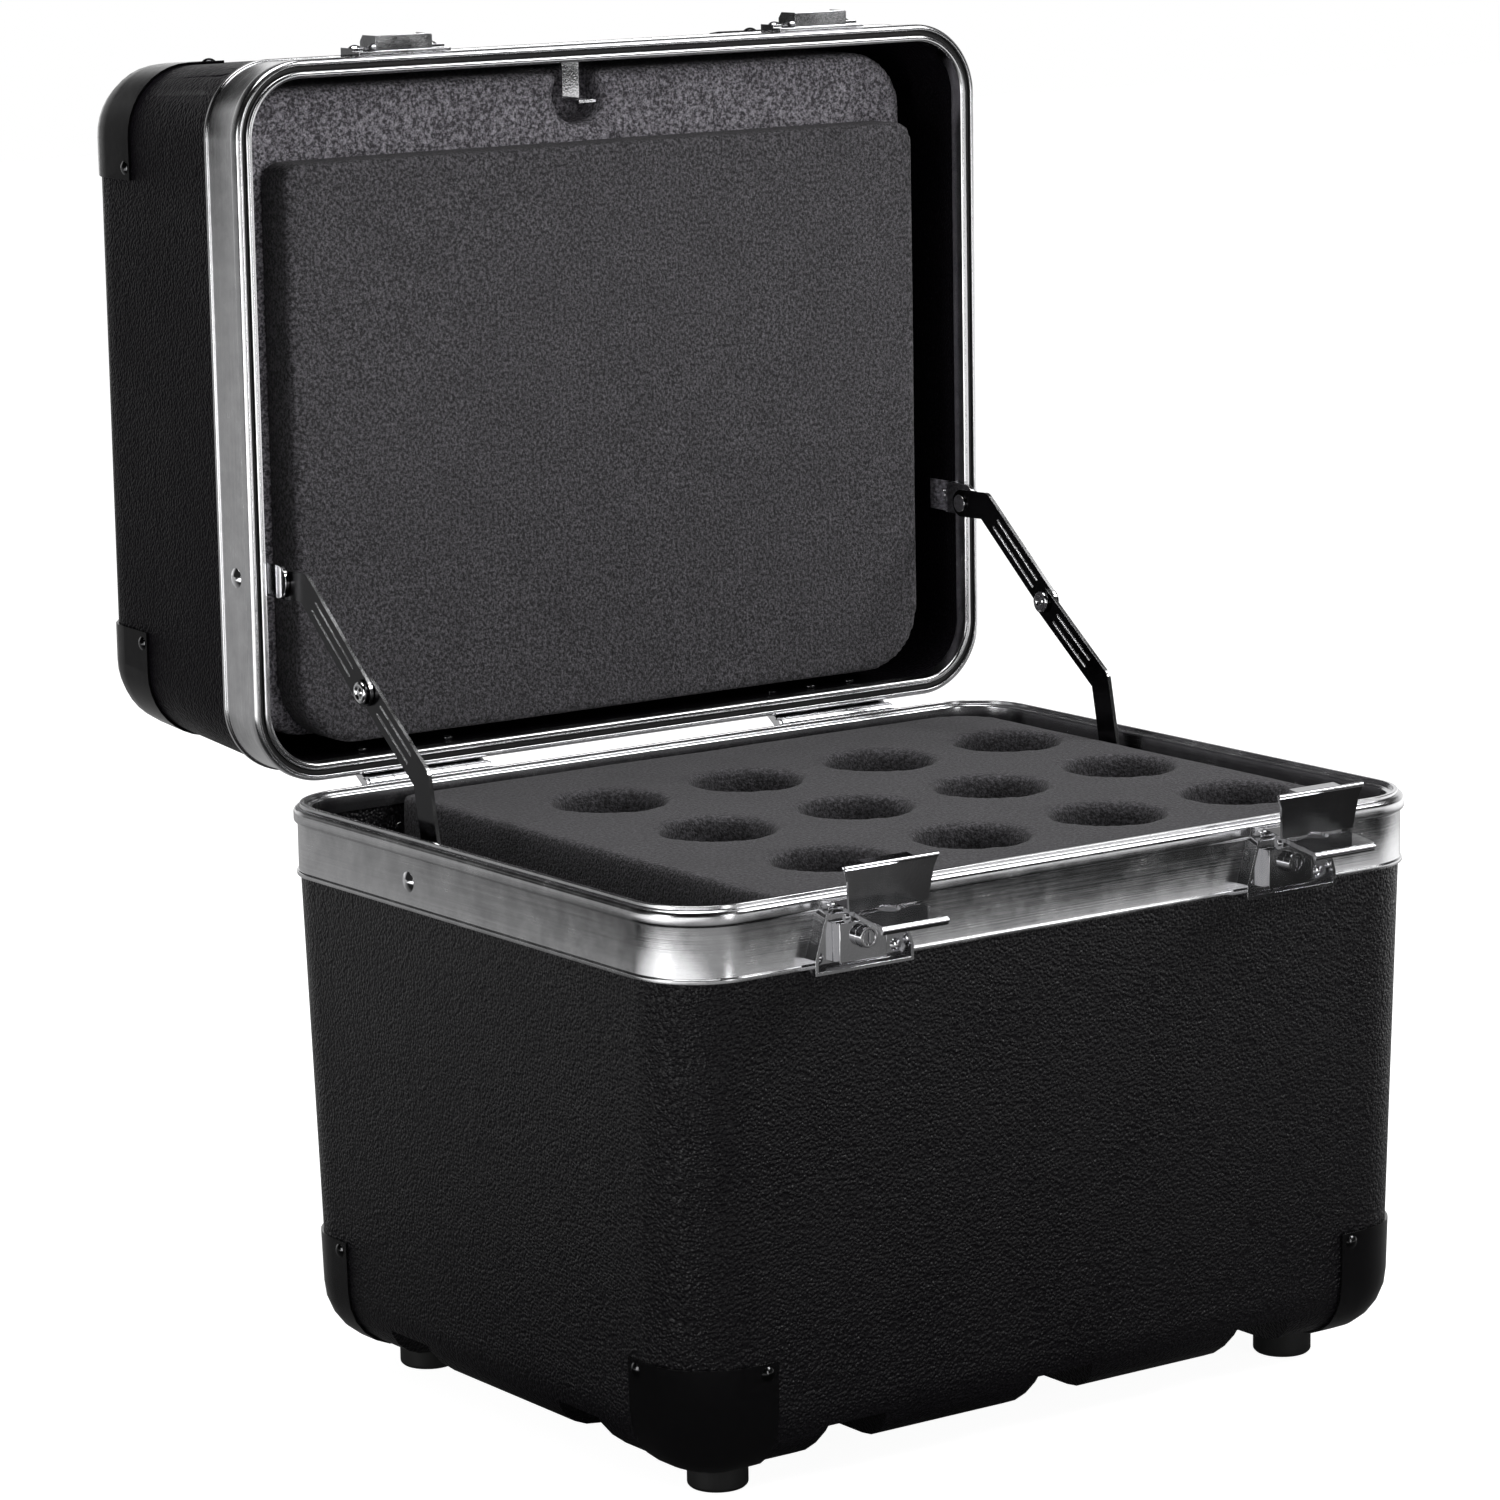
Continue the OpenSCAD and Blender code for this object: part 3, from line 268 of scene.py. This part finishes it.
PEBBLE = 1.6 * MM


def pebbled(start):
    place = object_place(start)
    bend = start.node("ShaderNodeTexNoise", inputs={"Vector": place, "Scale": 0.6 / PEBBLE}, output="Color")
    offset = {0: bend, 1: (0.6 * PEBBLE,) * 3, 2: place}
    wander = start.node("ShaderNodeVectorMath", {"operation": "MULTIPLY_ADD"}, offset)
    cells = start.node(
        "ShaderNodeTexVoronoi",
        {"feature": "SMOOTH_F1"},
        {"Vector": wander, "Scale": 1.0 / PEBBLE, "Smoothness": 0.35},
    )
    pebbles = 1.0 - spread(start, cells, 0.1, 0.75, 0.0, 1.0)
    swell = cloudy(start, place, 0.25 / PEBBLE, 3.0)
    scuffs = cloudy(start, place, 22.0, 6.0, 0.7)
    return {
        "Base Color": shade(start, scuffs, (0.0035, 0.003, 0.0041), (0.0068, 0.006, 0.0076)),
        "Roughness": spread(start, scuffs, 0.3, 0.7, 0.3, 0.42),
        "Normal": relief(start, pebbles + swell * 0.8, 0.6 * MM, 1.0),
    }


shell_finish = finish("pebbled plastic", {"Specular IOR Level": 0.3}, pebbled)
# The lid's copy is the same plastic with an IOR of 1.1, so it reflects far less: painted shade that darkens the
# lid's sides.
lid_shell_shaded_finish = finish("pebbled plastic, shaded copy for the lid", {"IOR": 1.1}, pebbled)


WELD = 0.004 * MM


def merged(node, flat):
    """A copy of a CAD node's mesh, its loose triangles joined, and faces within flat degrees made one."""
    mesh = frame["nodes"][node].data.copy()
    work = bmesh.new()
    work.from_mesh(mesh)
    bmesh.ops.remove_doubles(work, verts=work.verts, dist=WELD)
    bmesh.ops.dissolve_limit(
        work,
        angle_limit=math.radians(flat),
        use_dissolve_boundaries=False,
        verts=work.verts,
        edges=work.edges,
    )
    for face in work.faces:
        face.smooth = True
    work.to_mesh(mesh)
    work.free()
    return mesh


def settled(piece):
    """Applies a piece's modifiers, so that its mesh is plain."""
    shape = bpy.data.meshes.new_from_object(piece.evaluated_get(bpy.context.evaluated_depsgraph_get()))
    piece.modifiers.clear()
    piece.data = shape
    return piece


def stands_for(piece, node):
    """Puts a piece in a CAD node's place, on its body."""
    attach(piece, body_of[node])
    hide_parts(node)


def finished(node, look, edge, turn=40, steps=2):
    """A CAD node's piece, its edges sharper than turn degrees rounded by edge and the rest shaded smooth."""
    mesh = merged(node, 0.5)
    mesh.set_sharp_from_angle(angle=math.radians(turn))
    mesh.materials.clear()
    mesh.materials.append(look)
    piece = new_piece(node + "_piece", mesh)
    rounding = piece.modifiers.new("edges", "BEVEL")
    rounding.width = edge
    rounding.segments = steps
    rounding.limit_method = "ANGLE"
    rounding.angle_limit = math.radians(turn)
    rounding.harden_normals = True
    rounding.miter_outer = "MITER_ARC"
    even = piece.modifiers.new("shading", "WEIGHTED_NORMAL")
    even.keep_sharp = True
    settled(piece)
    stands_for(piece, node)


for node, look in (("base_shell", shell_finish), ("lid_shell", lid_shell_shaded_finish)):
    finished(node, look, 0.9 * MM, turn=32, steps=3)

# ---- Corner guards ----
# Eight caps moulded in glossy black plastic, over the corners of both tubs. Each is held by two domed rivets
# in black chrome.
SIDES = {"left": -1, "right": 1}
CORNERS = [f"{end}_{side}" for end in ("front", "back") for side in SIDES]


def glossy_black(start):
    place = object_place(start)
    ripple = cloudy(start, place, 90.0, 2.0)
    wear = cloudy(start, place, 400.0, 4.0, 0.7)
    return {
        "Base Color": shade(start, wear, (0.0018, 0.0017, 0.002), (0.005, 0.0048, 0.0052)),
        "Roughness": spread(start, wear, 0.35, 0.75, 0.12, 0.26),
        "Normal": relief(start, ripple, 0.25 * MM, 0.35),
    }


guard_finish = finish("glossy black plastic", {"Specular IOR Level": 0.35}, glossy_black)
# The lid's copy is the same plastic with an IOR of 1.14, so it reflects far less: painted shade that darkens the
# lid's guards.
lid_guard_shaded_finish = finish("glossy black plastic, shaded copy for the lid", {"IOR": 1.14}, glossy_black)
for half_name, look in (("base", guard_finish), ("lid", lid_guard_shaded_finish)):
    for corner in CORNERS:
        finished(f"{half_name}_corner_{corner}", look, 0.6 * MM, turn=32, steps=3)


def dark_plate(start):
    place = object_place(start)
    smear = cloudy(start, place, 60.0, 4.0, 0.6)
    return {
        "Base Color": shade(start, smear, (0.05, 0.05, 0.052), (0.1, 0.1, 0.102)),
        "Roughness": spread(start, smear, 0.35, 0.75, 0.1, 0.22),
        "Normal": relief(start, cloudy(start, place, 700.0), 0.03 * MM, 0.4),
    }


black_chrome_finish = finish("black chrome", {"Metallic": 1.0}, dark_plate)
for node in ("base_corner_rivets", "lid_corner_rivets"):
    finished(node, black_chrome_finish, 0.2 * MM, turn=35)

# ---- Rivets ----
# Domed rivets of bright chromed steel, each through every layer that it holds. They fix the latches,
# keepers, hinges, stays, catch and handle to the rims and the tubs.


def polished(start):
    place = object_place(start)
    smear = cloudy(start, place, 45.0, 4.0, 0.6)
    pits = cloudy(start, place, 900.0, 2.0)
    return {
        "Base Color": shade(start, smear, (0.72, 0.72, 0.74), (0.86, 0.86, 0.875)),
        "Roughness": spread(start, smear, 0.35, 0.75, 0.05, 0.17),
        "Normal": relief(start, pits, 0.02 * MM, 0.5),
    }


chrome_finish = finish("chrome", {"Metallic": 1.0}, polished)
for held in ("latch", "keeper", "hinge_base", "hinge_lid", "stay_base", "stay_lid", "catch", "handle"):
    finished(held + "_rivets", chrome_finish, 0.2 * MM, turn=35)

# ---- Rims ----
# Two drawn aluminium sections bent round the mouths, each with a proud bead, a groove or tongue where they
# meet, a rolled inner bead and a small foot bead. The draw leaves fine lines along the section.
base_low, base_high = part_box("base_rim")
lid_low, lid_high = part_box("lid_rim")
BEAD_OUT = 1.8 * MM
TONGUE = 1.6 * MM
RIM_GAP = 0.3 * MM
CORNER = 35.0 * MM
CORNER_STEPS = 28
rim_middle = (base_low + base_high) / 2
rim_width = base_high.x - base_low.x - 2 * BEAD_OUT
rim_depth = base_high.y - base_low.y - 2 * BEAD_OUT
rim_level = base_high.z - TONGUE


def outline(corners, steps=5):
    """A closed outline in metres from corners in millimetres, (out, up, radius), with each corner an arc."""
    points = []
    for number, (out, up, radius) in enumerate(corners):
        here = Vector((out, up))
        if radius == 0:
            points.append(here)
            continue
        back = (Vector(corners[number - 1][:2]) - here).normalized()
        ahead = (Vector(corners[(number + 1) % len(corners)][:2]) - here).normalized()
        half_turn = math.acos(max(-1.0, min(1.0, back.dot(ahead)))) / 2
        start_point = here + back * radius / math.tan(half_turn)
        centre = here + (back + ahead).normalized() * radius / math.sin(half_turn)
        swing = (start_point - centre).angle_signed(here + ahead * radius / math.tan(half_turn) - centre)
        for step in range(steps + 1):
            turn = Matrix.Rotation(-swing * step / steps, 2)
            points.append(centre + turn @ (start_point - centre))
    return [(point.x * MM, -point.y * MM, 0.0) for point in points]


def group_tree(name, sockets):
    """An empty Geometry Nodes tree with these named inputs, and threads for its inputs."""
    tree = bpy.data.node_groups.new(name, "GeometryNodeTree")
    tree.interface.new_socket("Geometry", in_out="OUTPUT", socket_type="NodeSocketGeometry")
    for label, kind in sockets.items():
        tree.interface.new_socket(label, in_out="INPUT", socket_type="NodeSocket" + kind)
    source = tree.nodes.new("NodeGroupInput")
    return Thread(tree), {label: Thread(tree, source.outputs[label]) for label in sockets}


def end_tree(start, geometry, look):
    """Ends a tree: its copies made real, and the finish set."""
    whole = start.node("GeometryNodeRealizeInstances", inputs={"Geometry": geometry})
    painted = start.node("GeometryNodeSetMaterial", inputs={"Geometry": whole, "Material": look})
    start.node("NodeGroupOutput", inputs={"Geometry": painted})
    return start.tree


def grown(name, mesh, tree, values):
    """A piece made by a tree with these inputs on a mesh."""
    piece = new_piece(name, mesh)
    modifier = piece.modifiers.new("grown", "NODES")
    modifier.node_group = tree
    for item in tree.interface.items_tree:
        if item.in_out == "INPUT" and item.name in values:
            modifier[item.identifier] = values[item.name]
    return settled(piece)


start, given = group_tree(
    "section round a case",
    {"Section": "Geometry", "Width": "Float", "Depth": "Float", "Corner": "Float", "Finish": "Material"},
)
mouth = start.node(
    "GeometryNodeCurvePrimitiveQuadrilateral", inputs={"Width": given["Width"], "Height": given["Depth"]}
)
mouth = start.node(
    "GeometryNodeFilletCurve",
    {"mode": "POLY"},
    {"Curve": mouth, "Count": CORNER_STEPS, "Radius": given["Corner"]},
)
mouth = start.node("GeometryNodeSetCurveNormal", {"mode": "Z_UP"}, {"Curve": mouth})
section = start.node("GeometryNodeMeshToCurve", inputs={"Mesh": given["Section"]})
swept = start.node("GeometryNodeCurveToMesh", inputs={"Curve": mouth, "Profile Curve": section})
rim_tree = end_tree(start, swept, given["Finish"])


def loop_mesh(name, points, closed=True):
    mesh = bpy.data.meshes.new(name)
    count = len(points)
    mesh.from_pydata(points, [(i, (i + 1) % count) for i in range(count if closed else count - 1)], [])
    return mesh


FINE_WELD = 0.002 * MM


def shaded(piece, turn=30, outwards=False):
    """Shades a piece smooth apart from its sharp edges, with its faces turned outwards where asked."""
    work = bmesh.new()
    work.from_mesh(piece.data)
    bmesh.ops.remove_doubles(work, verts=work.verts, dist=FINE_WELD)
    if outwards:
        bmesh.ops.recalc_face_normals(work, faces=work.faces)
    for face in work.faces:
        face.smooth = True
    work.to_mesh(piece.data)
    work.free()
    piece.data.set_sharp_from_angle(angle=math.radians(turn))
    return piece


def drawn_metal(rise):
    """Paint for aluminium with draw lines; rise is the axis of the section's height, 1 for Y or 2 for Z."""
    stretch = [5.0, 5.0, 5.0]
    stretch[rise] = 1500.0

    def paint(start):
        lines = cloudy(start, object_place(start, tuple(stretch)), 1.0, 5.0, 0.65)
        handled = cloudy(start, object_place(start), 60.0, 4.0, 0.6)
        bright = spread(start, handled * 0.6 + lines * 0.4, 0.34, 0.66, 0.0, 1.0)
        return {
            "Base Color": shade(start, bright, (0.47, 0.47, 0.48), (0.71, 0.71, 0.72)),
            "Roughness": spread(start, lines * 0.5 + handled * 0.5, 0.35, 0.65, 0.12, 0.28),
            "Normal": relief(start, lines, 0.04 * MM, 0.45),
        }

    return paint


WEB = [(-1.6, -33, 0), (0.9, -33, 0.3), (0.9, -31, 0.6), (0, -30.6, 0.3), (0, -7.6, 0.3), (1.8, -7.4, 1.6)]
INNER_BEAD = [(-7, -9, 0.3), (-5.7, -9, 0.3)]
BASE_SECTION = WEB + [
    (1.8, 0, 2.8), (-1.3, 0, 0.1), (-1.3, 1.6, 0.35), (-3.3, 1.6, 0.35), (-3.3, -0.1, 0.2), (-7, -0.1, 1.3),
] + INNER_BEAD + [(-5.7, -1.8, 0.2), (-1.6, -1.8, 0.2)]
LID_SECTION = WEB + [
    (1.8, -0.3, 2.2), (-1, -0.3, 0.4), (-1, -3.3, 0.2), (-3.6, -3.3, 0.2), (-3.6, -0.3, 1.4), (-7, -0.3, 1.4),
] + INNER_BEAD + [(-5.7, -5.1, 0.2), (-1.6, -5.1, 0.2)]
lid_level = Matrix.Translation((0, lid_low.y - RIM_GAP, (lid_low.z + lid_high.z) / 2))
lid_place = lid_level @ Matrix.Rotation(math.pi / 2, 4, "X")
base_place = Matrix.Translation((0, rim_middle.y, rim_level))


def round_mouth(node, corners, placing, look):
    """A section carried round a mouth, in the place of a CAD node."""
    values = {"Width": rim_width, "Depth": rim_depth, "Corner": CORNER, "Finish": look}
    piece = grown(node + "_piece", loop_mesh(node, outline(corners)), rim_tree, values)
    piece.data.transform(placing)
    shaded(piece, outwards=True)
    stands_for(piece, node)


for node, corners, placing, rise in (
    ("base_rim", BASE_SECTION, base_place, 2),
    ("lid_rim", LID_SECTION, lid_place, 1),
):
    look = finish(f"drawn aluminium, {node}", {"Metallic": 1.0}, drawn_metal(rise))
    round_mouth(node, corners, placing, look)

# ---- Gasket ----
# A strip of black rubber, laid in the lid rim's groove all the way round. The base rim's tongue comes over it
# when the lid is shut.


def matt_rubber(start):
    place = object_place(start)
    bloom = cloudy(start, place, 120.0, 4.0, 0.6)
    return {
        "Base Color": shade(start, bloom, (0.011, 0.011, 0.011), (0.022, 0.022, 0.022)),
        "Roughness": spread(start, bloom, 0.3, 0.7, 0.55, 0.75),
        "Normal": relief(start, cloudy(start, place, 1800.0), 0.05 * MM, 0.4),
    }


rubber_finish = finish("black rubber", {"IOR": 1.5}, matt_rubber)
SEAL_SECTION = [(-1.1, -3.2, 0.1), (-1.1, -2.2, 0.4), (-2.3, -1.9, 0.3), (-3.5, -2.2, 0.4), (-3.5, -3.2, 0.1)]
round_mouth("lid_seal", SEAL_SECTION, lid_place, rubber_finish)

# ---- Feet ----
# Four round feet moulded in black rubber, one near each corner of the base's underside. Each has a chamfered
# sole and a recess for its screw.
finished("feet", rubber_finish, 0.6 * MM, turn=35, steps=3)

# ---- Foam ----
# Blocks of charcoal foam cut from sheet: an open cell speckled with painted glints, faces that are not quite
# flat, and soft edges. The base's block has twelve round drops, and the lid has a deep block, painted lighter as
# a lit copy of the foam, with a pad on it.


def foam_cells(light, contrast=1.0):
    """Paint for foam; light scales its whole tone, and contrast its painted glints."""

    def paint(start):
        place = object_place(start)
        cells = start.node("ShaderNodeTexVoronoi", {"feature": "F1"}, {"Vector": place, "Scale": 850.0})
        # glint picks the bright specks of the cells, painted into the colour as glints, with lit as their painted
        # highlight tone.
        glint = spread(start, cloudy(start, place, 620.0, 3.0, 0.75), 0.42, 0.7, 0.0, 1.0)
        tone = cloudy(start, place, 45.0, 3.0, 0.6)
        dim = [light * value for value in (0.017, 0.0161, 0.0182)]
        lit = [light * value for value in (0.17, 0.162, 0.179)]
        painted_glints = (glint - 0.3) * contrast + 0.3
        return {
            "Base Color": shade(start, painted_glints * (0.7 + tone * 0.6), dim, lit),
            "Normal": relief(start, (1.0 - cells) + glint * 0.5, 0.5 * contrast * MM, 0.9),
        }

    return paint


foam_steady = {"Roughness": 0.95, "Sheen Weight": 0.1, "Sheen Roughness": 0.5}
foam_finish = finish("charcoal foam", foam_steady, foam_cells(0.95))
# The lid's deep block gets the foam's paint made 4.2 times lighter: painted light, lifting its top strip out of
# the shade that the rim casts on it.
lit_copy_foam_finish = finish("charcoal foam, painted lighter", foam_steady, foam_cells(4.2))
block_finish = finish("block foam", foam_steady, foam_cells(0.65, 0.8))


def foam(node, voxel, rounds, look=foam_finish):
    """A foam piece in a CAD node's place, with soft edges and faces that give a little."""
    piece = new_piece(node + "_piece", merged(node, 0.2))
    piece.data.materials.clear()
    piece.data.materials.append(look)
    cut = piece.modifiers.new("cut", "REMESH")
    cut.mode = "VOXEL"
    cut.voxel_size = voxel
    soften = piece.modifiers.new("soften", "SMOOTH")
    soften.factor = 0.5
    soften.iterations = rounds
    settled(piece)
    outwards = [point.normal.copy() for point in piece.data.vertices]
    for point, way in zip(piece.data.vertices, outwards):
        sag = noise.noise(point.co * 14.0) * 0.5
        dimple = noise.noise(point.co * 60.0) * 0.22
        point.co -= way * (0.25 + 0.5 * (sag + dimple)) * MM
    for face in piece.data.polygons:
        face.use_smooth = True
    stands_for(piece, node)


foam("mic_foam", 3.6 * MM, 5, block_finish)
foam("floor_pad", 4.5 * MM, 4, block_finish)
foam("lid_foam_back", 3.6 * MM, 5, lit_copy_foam_finish)
foam("lid_foam_pad", 2.8 * MM, 4)

# ---- Latches ----
# Two chromed draw latches: a pressed pan riveted over the base rim, a lever on a pin, a hooked claw on the
# lever, and a key lock in the pan. The lever's sides are serrated for the thumb.
pivot_of = {joint["name"]: Vector(joint["pos_m"]) for joint in frame["joints"]}
LEVER_DROOP = math.radians(-9.0)
LEVER_HALF = 18.0 * MM
TEETH = 16
TOOTH_SIDES = 10
TOOTH_LONG = 0.5 * MM
TOOTH_HIGH = 0.42 * MM
TOOTH_WIDE = 1.9 * MM
TOOTH_PITCH = 1.1 * MM
FIRST_TOOTH = -18.7 * MM
TOOTH_LEVEL = 1.8 * MM
LATCH_EDGES = {
    "latch_pan_": 0.35 * MM, "latch_pin_": 0.15 * MM, "lever_": 0.3 * MM,
    "claw_": 0.25 * MM, "lock_body_": 0.4 * MM, "lock_plug_": 0.15 * MM,
}


def prism(name, outline_points, height):
    """A closed solid with this flat outline, height tall along Z, its middle at the origin."""
    work = bmesh.new()
    ring = [work.verts.new((x, y, -height / 2)) for x, y in outline_points]
    base = work.faces.new(ring)
    risen = bmesh.ops.extrude_face_region(work, geom=[base])
    tops = [item for item in risen["geom"] if isinstance(item, bmesh.types.BMVert)]
    bmesh.ops.translate(work, verts=tops, vec=(0, 0, height))
    bmesh.ops.recalc_face_normals(work, faces=work.faces)
    mesh = bpy.data.meshes.new(name)
    work.to_mesh(mesh)
    work.free()
    return mesh


start, given = group_tree(
    "row of teeth",
    {"Tooth": "Geometry", "Count": "Int", "First": "Vector", "Pitch": "Vector", "Finish": "Material"},
)
line = start.node(
    "GeometryNodeMeshLine",
    inputs={"Count": given["Count"], "Start Location": given["First"], "Offset": given["Pitch"]},
)
copies = start.node("GeometryNodeInstanceOnPoints", inputs={"Points": line, "Instance": given["Tooth"]})
row_tree = end_tree(start, copies, given["Finish"])


def tooth_corner(step):
    turn = step * math.tau / TOOTH_SIDES
    return TOOTH_LONG * math.cos(turn), TOOTH_HIGH * math.sin(turn)


tooth_outline = [tooth_corner(step) for step in range(TOOTH_SIDES)]
for side, way in SIDES.items():
    for edge in (-1, 1):
        teeth = grown(
            f"lever_{side}_teeth_{'outer' if edge == way else 'inner'}",
            prism("tooth", tooth_outline, TOOTH_WIDE),
            row_tree,
            {
                "Count": TEETH,
                "First": (edge * LEVER_HALF, FIRST_TOOTH, TOOTH_LEVEL),
                "Pitch": (0.0, -TOOTH_PITCH, 0.0),
                "Finish": chrome_finish,
            },
        )
        hang = Matrix.Translation(pivot_of[f"lever_{side}_pivot"])
        teeth.data.transform(hang @ Matrix.Rotation(-LEVER_DROOP, 4, "X"))
        shaded(teeth)
        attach(teeth, "lever_" + side)
    for node, edge in LATCH_EDGES.items():
        finished(node + side, chrome_finish, edge)

# ---- Keepers ----
# Two chromed catches riveted to the lid rim, one for each latch. Each is a flange with two ears and the
# block that the claw hooks over.
for side in SIDES:
    finished("keeper_" + side, chrome_finish, 0.3 * MM)

# ---- Hinges ----
# Two chromed steel hinges at the back, each with a leaf riveted to either rim. Their five knuckles turn on a
# headed pin.
for side in SIDES:
    for node in ("hinge_base_leaf_", "hinge_lid_leaf_", "hinge_pin_"):
        finished(node + side, chrome_finish, 0.25 * MM)

# ---- Stays ----
# Two folding stays, each of two bent links of black chromed strip with pressed ribs, their edges painted
# bright as highlights.
# They turn on bright pivots, at brackets inside the base's wall and the lid's rim.

# LINKS_MEET is the slit between the two links of a side. A link's faces lie INNER_FACE and OUTER_FACE from
# it, and its edge is painted bright, as a highlight, between HIGHLIGHT_FROM and HIGHLIGHT_FULL under each face.
LINKS_MEET = pivot_of["stay_lower_right_pivot"].x
INNER_FACE = 0.2 * MM
OUTER_FACE = 2.2 * MM
HIGHLIGHT_FROM = 0.06 * MM
HIGHLIGHT_FULL = 0.16 * MM


def edged_plate(start):
    """Black chrome on a link's flat faces, and bright metal painted on the edges between them as a highlight."""
    from_middle = abs(on_axis(start, object_place(start), "X"))
    depth = abs(from_middle - LINKS_MEET)
    outer = spread(start, depth, OUTER_FACE - HIGHLIGHT_FULL, OUTER_FACE - HIGHLIGHT_FROM, 1.0, 0.0)
    painted_highlight = spread(start, depth, INNER_FACE + HIGHLIGHT_FROM, INNER_FACE + HIGHLIGHT_FULL, 0.0, 1.0) * outer
    look = dark_plate(start)
    # The edges' bright colour is a painted highlight.
    look["Base Color"] = shade(start, painted_highlight, (0.04, 0.04, 0.042), (0.85, 0.85, 0.86))
    return look


link_finish = finish("edged black chrome", {"Metallic": 1.0}, edged_plate)
ELBOW = Vector((0.0, 0.029522, 0.3385))
EYELET_OUT = 3.6 * MM
EYELET_PLACES = {"stay_upper": LINKS_MEET + EYELET_OUT, "stay_lower": LINKS_MEET - EYELET_OUT}
EYELET = [
    (0, 0.8), (1.0, 0.78), (1.7, 0.62), (2.0, 0.25), (2.5, 0.2), (2.8, 0.5), (3.4, 0.84), (4.1, 0.86),
    (4.9, 0.6), (5.3, 0.1), (5.3, -0.2),
]


def lathed(name, profile, look, steps=48):
    """A piece turned about X from (radius, height) points in millimetres, the height along X."""
    work = bmesh.new()
    chain = [work.verts.new((height * MM, radius * MM, 0)) for radius, height in profile]
    links = [work.edges.new(pair) for pair in zip(chain, chain[1:])]
    bmesh.ops.spin(
        work,
        geom=chain + links,
        use_merge=True,
        cent=(0, 0, 0),
        axis=(1, 0, 0),
        angle=math.tau,
        steps=steps,
    )
    mesh = bpy.data.meshes.new(name)
    work.to_mesh(mesh)
    work.free()
    mesh.materials.append(look)
    return shaded(new_piece(name, mesh), 50, outwards=True)


for side, way in SIDES.items():
    for link, out in EYELET_PLACES.items():
        eyelet = lathed(f"{link}_{side}_eyelet", EYELET, chrome_finish)
        facing = way if link == "stay_upper" else -way
        on_link = Matrix.Translation((way * out, ELBOW.y, ELBOW.z))
        eyelet.data.transform(on_link @ Matrix.Scale(facing, 4, (1, 0, 0)))
        if facing < 0:
            eyelet.data.flip_normals()
        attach(eyelet, f"{link}_{side}")
    finished("stay_lower_" + side, link_finish, 0.35 * MM)
    finished("stay_upper_" + side, link_finish, 0.35 * MM)
    finished("stay_base_bracket_" + side, black_chrome_finish, 0.3 * MM)
    finished("stay_lid_bracket_" + side, chrome_finish, 0.3 * MM)

# ---- Catch ----
# A strip of chromed steel riveted inside the lid. It comes out of a pocket in the lid's foam and turns up
# into a loop.
finished("catch_bracket", chrome_finish, 0.25 * MM)

# ---- Carry handle ----
# A bail of bent steel rod with a ribbed rubber grip moulded on it. It hangs between two riveted plates on the
# lid's top.
finished("handle_plate", chrome_finish, 0.3 * MM)
BAIL_TIP = 71.5
BAIL_HALF = 60
BAIL_DROP = 38
BAIL_BEND = 5.0 * MM
BAIL_RADIUS = 3.0 * MM
bail_path = [
    (-BAIL_TIP, 0, 0), (-BAIL_HALF, 0, 0), (-BAIL_HALF, 0, -BAIL_DROP),
    (BAIL_HALF, 0, -BAIL_DROP), (BAIL_HALF, 0, 0), (BAIL_TIP, 0, 0),
]
start, given = group_tree(
    "bent rod", {"Path": "Geometry", "Bend": "Float", "Radius": "Float", "Finish": "Material"}
)
path = start.node("GeometryNodeMeshToCurve", inputs={"Mesh": given["Path"]})
path = start.node(
    "GeometryNodeFilletCurve", {"mode": "POLY"}, {"Curve": path, "Count": 12, "Radius": given["Bend"]}
)
rod = start.node(
    "GeometryNodeCurvePrimitiveCircle", inputs={"Resolution": 24, "Radius": given["Radius"]}
)
swept = start.node(
    "GeometryNodeCurveToMesh", inputs={"Curve": path, "Profile Curve": rod, "Fill Caps": True}
)
rod_tree = end_tree(start, swept, given["Finish"])
bail = grown(
    "handle_bail",
    loop_mesh("bail", [Vector(point) * MM for point in bail_path], closed=False),
    rod_tree,
    {"Bend": BAIL_BEND, "Radius": BAIL_RADIUS, "Finish": chrome_finish},
)
bail.data.transform(Matrix.Translation(pivot_of["handle_pivot"]))
shaded(bail, 50)
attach(bail, "handle_bar")
RIBS = 22
RIB_SPAN = 94
grip_profile = [(3.0, -52), (7.2, -52), (7.8, -51.4), (7.8, -49)]
for rib in range(RIBS):
    place = rib * RIB_SPAN / (RIBS - 1) - RIB_SPAN / 2
    grip_profile += [(7.1, place - 0.9), (7.1, place - 0.5), (7.9, place + 0.3), (7.9, place + 2.4)]
grip_profile += [(7.8, 50.6), (7.8, 51.4), (7.2, 52), (3.0, 52)]
grip = lathed("handle_grip_piece", grip_profile, rubber_finish, steps=40)
grip.data.transform(Matrix.Translation(pivot_of["handle_pivot"] + Vector((0, 0, -BAIL_DROP * MM))))
stands_for(grip, "handle_bar")
